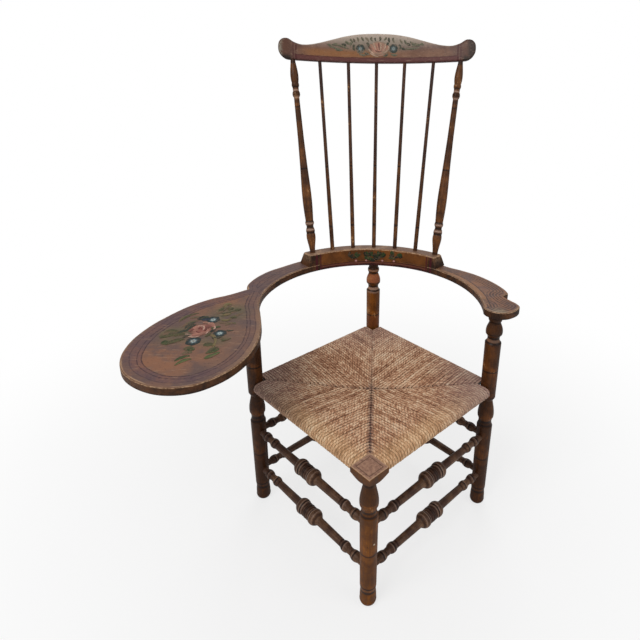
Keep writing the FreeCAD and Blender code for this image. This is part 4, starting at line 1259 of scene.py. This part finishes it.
# %% [markdown]
# The flowers and leaves are single brush strokes, so each is a small ribbon that swells and
# tapers like one. Its middle line goes through three points, and the paint stands slightly
# proud along it. The same strokes can lie on the flat tablet, on the curved riser or on the
# bent crest: only the last step, which lays a flat place onto the wood, differs.

# %% Brush strokes
paints = {"leaf": (68, 80, 46), "bright": (90, 100, 58), "olive": (84, 82, 54),
          "straw": (124, 110, 72), "deep": (38, 46, 40), "navy": (44, 54, 68),
          "haze": (94, 88, 62), "forest": (46, 56, 34),
          "shade": (26, 34, 20), "pine": (44, 62, 28),
          "salmon": (166, 114, 98), "rosy": (126, 74, 66), "cream": (198, 158, 140),
          "crimson": (112, 54, 50), "sage": (96, 96, 76), "dusty": (168, 120, 100),
          "pearl": (186, 154, 132), "brick": (124, 78, 66),
          "moss": (62, 66, 52)}


flat_unit = (0.001, 0.001)
bow_unit = (bow_radius * pi / 180, 0.001)
stroke_lift = 0.00022
stroke_step = 0.00006
stroke_dome = 0.00030


def brush_strokes(name, rows, lay, material, unit=flat_unit, swell=1.1, under=0.0):
    """Ribbons through three points each: the width follows a sine, so both ends are pointed.

    Rows are start, middle, end, width in millimetres and paint. unit turns the places of a row
    into metres, and lay puts (u, v, lift) on the wood. swell widens every stroke, and under is
    the height of the paint under them. The line is the parabola through its three points, and
    a stroke's height is a dome: 1 - s squared across it, times the sine along it.
    """
    table = np.array([row[:7] for row in rows], float)
    tints = np.array([paint(*paints[row[7]]) for row in rows])
    t = np.linspace(0, 1, 15)[None, :, None]
    knots = table[:, :6].reshape(-1, 3, 1, 2) * np.array(unit)
    line = (knots[:, 0] * (2 * t - 1) * (t - 1) + knots[:, 1] * 4 * t * (1 - t)
            + knots[:, 2] * t * (2 * t - 1))
    ahead = np.gradient(line, axis=1)
    ahead /= np.linalg.norm(ahead, axis=-1, keepdims=True)
    beside = np.stack([-ahead[..., 1], ahead[..., 0]], axis=-1)
    sway = 1 + 0.12 * np.sin(t * 9 + np.arange(len(rows))[:, None, None] * 1.7)
    half = table[:, 6, None, None] * 0.0005 * swell * np.sin(pi * t ** 0.85) ** 0.55 * sway + 0.0001
    s = np.linspace(-1, 1, 7)
    places = line[:, :, None] + beside[:, :, None] * (half * s)[..., None]
    order = stroke_step * (np.arange(len(rows)) % 5)[:, None, None]
    lift = stroke_lift + order + stroke_dome * (1 - s ** 2) * np.sin(pi * t)
    points = lay(places[..., 0], places[..., 1], lift + under)
    # painted light: across its dome each stroke is lighter on one side and darker on the other
    light = 0.85 + 0.35 * s * np.sin(pi * t) + 0 * t
    colour = tints[:, None, None] * np.ones((1, *points.shape[1:3], 1))
    colour[..., :3] = colour[..., :3] * np.clip(light, 0.55, 1.3)[..., None]
    piece = grid_mesh(name, points, marks={"tint": colour})
    face_out(piece, lay)
    wear(piece, material)
    print(name, len(rows), "strokes")
    return piece


def face_out(piece, lay):
    """Turns a thin film of paint so that it faces away from the wood under it."""
    low = lay(np.array([0.0]), np.array([0.0]), np.array([0.0]))
    high = lay(np.array([0.0]), np.array([0.0]), np.array([0.01]))
    out = Vector((high - low)[0])
    if sum(p.normal.dot(out) for p in piece.data.polygons) < 0:
        piece.data.flip_normals()


def on_tablet(u, v, lift):
    """Flat place from the seat's middle, laid on the top of the arm."""
    return np.stack([seat_x + u, seat_y + v, arm_top + coat_lift + lift + 0 * u], axis=-1)


def on_riser(u, v, lift):
    """Place from (distance round the bow, height), laid on its inner face."""
    turn = u / bow_radius
    reach = bow_radius - lift
    return np.stack([arm_x + reach * np.sin(turn), arm_y + reach * np.cos(turn), v + 0 * turn], -1)


def on_crest(u, v, lift):
    """Place on the flat board of the crest, laid on its bent front face."""
    return bent(u, v, -lift / crest_thick + 0 * u)


def petal_finish(name, wornness, under):
    """Brush paint in each stroke's own colour, rubbed through to the colour under it."""
    make = Finish(name)
    tint = make.mark("tint", "Color")
    fine = make.noise(make.place, 240.0, 4.0, 0.7)
    patch = make.noise(make.place, 60.0, 3.0, 0.6)
    rubbed_off = make.math("ADD", fine, make.times(patch, 0.6))
    rubbed_off = make.step(rubbed_off, 0.98 - 0.3 * wornness, 1.10 - 0.3 * wornness, 0.0, wornness)
    colour = make.blend(rubbed_off, tint, under)
    colour = make.blend(make.step(fine, 0.30, 0.42, 0.35, 0.0), colour, paint(52, 40, 34))
    return make.close(colour, make.step(fine, 0.2, 0.8, 0.45, 0.62), make.bump(fine, 0.3, 0.0004))


flower_paint = petal_finish("flower paint", 0.50, paint(122, 94, 76))
faded_paint = petal_finish("faded leaf paint", 0.85, paint(116, 90, 72))
crest_flower_paint = petal_finish("worn flower paint", 0.66, paint(132, 114, 96))
print("brush ready")

# %% [markdown]
# A round blossom is a small disc with a petalled rim. Its colour changes from the dot in the
# middle through a pale ring to a dark outline, and the rim's radius follows a cosine that
# counts the petals.

# %% Blossoms
blossom_lift = 0.00018
blossom_dome = 0.00022


def blossoms(name, rows, tones, lay, material, petals=6, unit=flat_unit):
    """Discs of paint: each row is a middle, and a half width and a half height in millimetres.

    unit turns the middle into metres. tones are pairs of (share of the radius, colour). The rim
    is 1 + 0.05 cos(petals * angle), and the disc is a little higher in its middle.
    """
    table = np.array(rows, float)
    share = np.linspace(0, 1, 15)[:, None]
    turn = np.linspace(0, 2 * pi, 37)[None, :]
    rim = 1 + 0.05 * share * np.cos(petals * turn + np.arange(len(rows))[:, None, None])
    x, y, half_wide, half_high = np.moveaxis(table, 1, 0)[..., None, None]
    u = x * unit[0] + half_wide * 0.001 * share * rim * np.cos(turn)
    v = y * unit[1] + half_high * 0.001 * share * rim * np.sin(turn)
    lift = blossom_lift + blossom_dome * (1 - share ** 2) + 0 * u
    stops = np.array([at for at, tone in tones])
    hues = np.array([paint(*tone) for at, tone in tones])
    wave = np.clip(share + 0.05 * np.cos(petals * turn), 0, 1)
    colour = np.stack([np.interp(wave, stops, hues[:, k]) for k in range(4)], axis=-1)
    colour = np.broadcast_to(colour, (len(rows), *colour.shape))
    piece = grid_mesh(name, lay(u, v, lift), marks={"tint": colour})
    merge_doubles(piece)
    face_out(piece, lay)
    wear(piece, material)
    return piece


blue_tones = [(0, (84, 96, 96)), (0.10, (92, 104, 104)), (0.17, (184, 194, 188)),
              (0.28, (166, 180, 176)), (0.37, (98, 118, 124)), (0.48, (58, 76, 82)),
              (0.62, (40, 52, 54)), (1, (42, 50, 46))]
rose_tones = [(0, (124, 68, 60)), (0.3, (148, 92, 80)), (0.6, (162, 110, 96)),
              (0.85, (132, 90, 78)), (1, (112, 74, 60))]
blossoms("tablet_blue_flowers", [(-366, -115, 15, 17), (-333, -177, 15, 16), (-380, -212, 16, 18)],
         blue_tones, on_tablet, flower_paint)
blossoms("tablet_rose_ground", [(-378, -161, 24, 27)], rose_tones, on_tablet, flower_paint, 5)
faded_tones = [(0, (96, 108, 106)), (0.10, (96, 108, 106)), (0.20, (136, 148, 146)),
               (0.34, (88, 102, 102)), (0.52, (56, 66, 64)), (0.8, (44, 52, 48)), (1, (68, 70, 58))]
blossoms("crest_blue_flowers", [(-46.4, 34, 13, 13), (47.4, 35, 13, 13)], faded_tones, on_crest,
         crest_flower_paint)
pink_tones = [(0, (186, 128, 110)), (0.5, (178, 126, 108)), (0.85, (158, 124, 104)),
              (1, (134, 112, 96))]
blossoms("crest_rose_ground", [(5, 36, 27, 19)], pink_tones, on_crest, crest_flower_paint, 7)
blossoms("riser_small_flowers", [(-10.1, 631.7, 4.2, 3.6), (-3.8, 631.6, 3.4, 3.0),
                                 (6.2, 632.2, 4.0, 3.4), (13.4, 633.2, 4.0, 3.4)],
         [(0, (110, 56, 60)), (0.2, (190, 148, 130)), (0.7, (160, 104, 104)), (1, (84, 46, 44))],
         on_riser, flower_paint, 5, bow_unit)

# %% [markdown]
# These are the strokes themselves, read off the chair one by one: a rose in the middle with
# light petal edges, dark leaves behind the blue flowers, two pairs of long green leaves in
# front, and thin olive sprays toward both ends.

# %% Strokes on the tablet
tablet_strokes = [
    (-388, -247, -378, -244, -367, -249, 17, "leaf"), (-367, -271, -381, -276, -392, -292, 8, "leaf"),
    (-360, -282, -375, -289, -386, -308, 8, "bright"), (-317, -238, -326, -252, -340, -259, 8, "leaf"),
    (-311, -254, -322, -265, -336, -280, 8, "bright"), (-333, -224, -345, -225, -352, -231, 14, "olive"),
    (-358, -184, -342, -193, -332, -216, 4, "straw"), (-352, -180, -334, -203, -335, -234, 4, "straw"),
    (-407, -183, -435, -187, -456, -203, 11, "olive"), (-402, -205, -419, -212, -433, -231, 11, "olive"),
    (-432, -219, -438, -221, -442, -228, 16, "leaf"), (-407, -166, -420, -173, -428, -187, 9, "moss"),
    (-424, -174, -444, -168, -455, -179, 8, "olive"), (-408, -84, -426, -95, -439, -124, 5, "olive"),
    (-402, -129, -413, -141, -416, -160, 7, "moss"), (-386, -101, -395, -107, -401, -117, 14, "deep"),
    (-373, -113, -384, -114, -394, -116, 12, "navy"), (-356, -85, -338, -74, -315, -57, 4, "olive"),
    (-365, -70, -361, -62, -359, -51, 10, "olive"), (-361, -48, -355, -32, -344, -37, 8, "straw"),
    (-346, -64, -340, -58, -337, -50, 10, "olive"), (-327, -66, -321, -60, -316, -55, 12, "olive"),
    (-350, -90, -341, -89, -334, -82, 9, "straw"), (-330, -104, -323, -101, -315, -104, 8, "olive"),
    (-348, -115, -336, -117, -325, -114, 7, "straw"), (-322, -161, -315, -165, -306, -161, 5, "moss"),
    (-358, -158, -349, -150, -339, -148, 9, "leaf"), (-355, -173, -351, -164, -346, -162, 9, "deep"),
    (-361, -193, -356, -184, -354, -171, 6, "olive"), (-321, -209, -314, -206, -306, -202, 6, "olive"),
    (-408, -169, -406, -149, -397, -137, 8, "moss"), (-396, -118, -389, -104, -376, -107, 10, "moss"),
    (-407, -200, -401, -188, -392, -183, 9, "moss"), (-345, -193, -334, -197, -326, -190, 9, "moss"),
    (-387, -248, -381, -239, -370, -242, 10, "olive"), (-337, -261, -330, -243, -321, -234, 9, "olive"),
    (-355, -57, -354, -39, -344, -35, 4, "straw"), (-351, -186, -335, -207, -330, -240, 4, "straw"),
]
faded_strokes = [
    (-459, -199, -439, -176, -407, -180, 15), (-444, -228, -424, -214, -401, -204, 17),
    (-425, -150, -413, -129, -397, -120, 10), (-440, -130, -433, -102, -410, -85, 9),
    (-365, -87, -355, -60, -343, -37, 12), (-352, -99, -336, -76, -318, -66, 12),
    (-335, -118, -321, -96, -304, -75, 10), (-331, -141, -321, -129, -308, -134, 10),
    (-327, -197, -313, -201, -304, -195, 10), (-335, -281, -326, -269, -313, -258, 13),
    (-428, -196, -420, -185, -405, -188, 12), (-383, -267, -377, -257, -368, -260, 12),
    (-420, -112, -410, -104, -398, -104, 9), (-350, -125, -338, -128, -326, -124, 9),
]
rose_strokes = [
    (-389, -172, -391, -154, -380, -147, 16, "salmon"),
    (-394, -186, -379, -185, -370, -172, 14, "salmon"),
    (-372, -158, -368, -149, -360, -153, 14, "rosy"), (-371, -139, -363, -137, -354, -151, 12, "salmon"),
    (-385, -145, -376, -151, -374, -167, 4, "cream"), (-390, -159, -389, -146, -381, -145, 4, "cream"),
    (-379, -134, -368, -132, -356, -144, 4, "cream"), (-358, -141, -351, -153, -354, -160, 4, "cream"),
    (-385, -161, -384, -154, -379, -158, 4, "crimson"), (-371, -169, -369, -163, -371, -151, 4, "crimson"),
    (-408, -183, -398, -186, -385, -191, 4, "cream"), (-399, -192, -384, -196, -373, -190, 4, "cream"),
    (-402, -173, -399, -164, -394, -166, 10, "rosy"), (-388, -170, -381, -174, -374, -172, 3, "crimson"),
    (-364, -180, -361, -176, -361, -167, 3, "cream"), (-384, -133, -379, -129, -373, -132, 7, "salmon"),
]
faded_rows = [(*row, "haze") for row in faded_strokes]
brush_strokes("tablet_faded_leaves", faded_rows, on_tablet, faded_paint)
brush_strokes("tablet_leaves", tablet_strokes, on_tablet, flower_paint, under=0.0003)
brush_strokes("tablet_rose", rose_strokes, on_tablet, flower_paint, under=0.0004)

# %% [markdown]
# The riser has a row of small dark leaves in three groups, dabbed in with the tip of the brush.

# %% Strokes on the riser
riser_strokes = [
    (-14.5, 646, -14.2, 655, -13.6, 662, 4, "shade"), (-14.2, 644, -12.8, 649, -11.4, 652, 4, "shade"),
    (-10.7, 645, -10.0, 652, -9.3, 660, 5, "pine"), (-11.1, 643, -9.3, 646, -7.3, 655, 5, "pine"),
    (-13.5, 643, -11.4, 642, -9.3, 644, 4, "shade"), (-5.2, 658, -4.2, 651, -3.1, 642, 5, "shade"),
    (-3.9, 661, -3.2, 654, -2.1, 647, 4, "pine"), (-1.4, 644, -1.7, 652, -1.1, 661, 5, "shade"),
    (0.3, 644, -0.4, 653, 0.2, 660, 4, "pine"), (2.0, 655, 1.6, 647, 1.1, 640, 5, "shade"),
    (3.3, 662, 3.7, 653, 2.7, 644, 5, "pine"), (5.0, 660, 4.7, 652, 3.4, 642, 4, "shade"),
    (-4.9, 644, -2.4, 638, 0.3, 638, 6, "pine"), (0.3, 638, 3.0, 639, 5.8, 645, 6, "shade"),
    (7.1, 659, 6.4, 652, 5.1, 645, 5, "pine"), (8.1, 654, 7.1, 647, 5.8, 641, 4, "shade"),
    (-1.4, 633, 0.3, 633, 2.0, 634, 6, "shade"), (11.2, 654, 12.3, 659, 13.3, 653, 6, "pine"),
    (10.6, 646, 12.0, 649, 13.7, 648, 5, "shade"), (15.8, 649, 16.8, 655, 18.6, 654, 6, "pine"),
    (13.7, 643, 15.1, 647, 16.5, 646, 4, "shade"), (9.9, 641, 12.0, 642, 14.4, 639, 4, "pine"),
    (16.5, 646, 17.5, 648, 18.8, 651, 4, "shade"),
]
brush_strokes("riser_leaves", riser_strokes, on_riser, flower_paint, bow_unit, 1.9)

# %% [markdown]
# On the crest the rose sits between two blue flowers, with grey-green sprays above and beside
# them. The rose's petals are upright strokes of salmon and cream over its pink ground.

# %% Strokes on the crest
crest_strokes = [
    (-135, 39, -121, 35, -97, 29, 4, "sage"), (-139, 43, -132, 41, -128, 40, 5, "sage"),
    (-127, 42, -114, 43, -102, 38, 5, "sage"), (-118, 32, -107, 29, -95, 29, 5, "sage"),
    (-111, 42, -97, 39, -79, 33, 4, "sage"), (-79, 44, -74, 47, -76, 40, 6, "sage"),
    (-67, 62, -64, 56, -62, 51, 4, "moss"), (-76, 61, -72, 56, -67, 49, 4, "sage"),
    (-57, 65, -53, 60, -53, 53, 4, "sage"), (-44, 67, -41, 62, -37, 55, 4, "sage"),
    (-34, 66, -27, 61, -23, 54, 4, "sage"), (-5, 66, -5, 61, -3, 56, 3, "moss"),
    (20, 58, 25, 63, 26, 68, 4, "sage"), (35, 67, 34, 59, 37, 52, 4, "moss"),
    (48, 66, 46, 59, 50, 52, 4, "sage"), (65, 61, 69, 54, 73, 49, 4, "sage"),
    (78, 59, 81, 52, 87, 45, 4, "sage"), (94, 55, 101, 48, 118, 42, 4, "sage"),
    (97, 41, 108, 43, 122, 41, 4, "sage"), (80, 35, 101, 34, 122, 37, 4, "sage"),
    (66, 38, 73, 35, 83, 31, 4, "moss"), (122, 44, 127, 46, 132, 42, 5, "sage"),
    (-30, 52, -24, 46, -22, 38, 5, "moss"), (-62, 46, -66, 38, -62, 28, 5, "moss"),
    (-34, 24, -28, 20, -18, 18, 5, "moss"), (32, 22, 26, 17, 18, 15, 5, "moss"),
    (34, 52, 30, 46, 33, 40, 5, "moss"), (62, 46, 66, 40, 64, 30, 5, "moss"),
    (-14, 68, -16, 62, -12, 55, 4, "sage"), (8, 69, 10, 62, 8, 56, 4, "moss"),
    (-90, 52, -84, 50, -80, 44, 5, "sage"), (-100, 44, -92, 44, -86, 40, 5, "moss"),
    (84, 50, 90, 46, 96, 44, 5, "moss"), (104, 50, 112, 46, 124, 44, 4, "sage"),
    (-50, 20, -40, 17, -30, 16, 4, "sage"), (40, 20, 50, 17, 60, 19, 4, "sage"),
]
crest_rose = [
    (-18, 49, -14, 38, -8, 28, 5, "dusty"), (-11, 52, -7, 42, -3, 31, 4, "pearl"),
    (-3, 51, 0, 40, 2, 30, 5, "dusty"), (4, 52, 6, 42, 8, 31, 4, "brick"),
    (11, 51, 11, 40, 11, 30, 4, "pearl"), (18, 51, 17, 40, 15, 30, 5, "dusty"),
    (25, 49, 23, 40, 19, 30, 4, "pearl"), (30, 45, 29, 38, 24, 30, 5, "dusty"),
    (-21, 42, -18, 35, -14, 28, 4, "brick"), (-24, 35, -15, 24, -5, 19, 4, "pearl"),
    (-5, 24, 6, 21, 17, 23, 5, "dusty"), (-19, 23, -8, 16, 6, 13, 3, "pearl"),
    (20, 23, 27, 26, 32, 32, 4, "pearl"), (2, 16, 13, 16, 24, 19, 4, "dusty"),
    (32, 42, 34, 37, 31, 32, 4, "pearl"), (-5, 30, 6, 27, 16, 29, 4, "brick"),
]
brush_strokes("crest_leaves", crest_strokes, on_crest, crest_flower_paint, swell=1.4)
brush_strokes("crest_rose", crest_rose, on_crest, crest_flower_paint, under=0.0003)
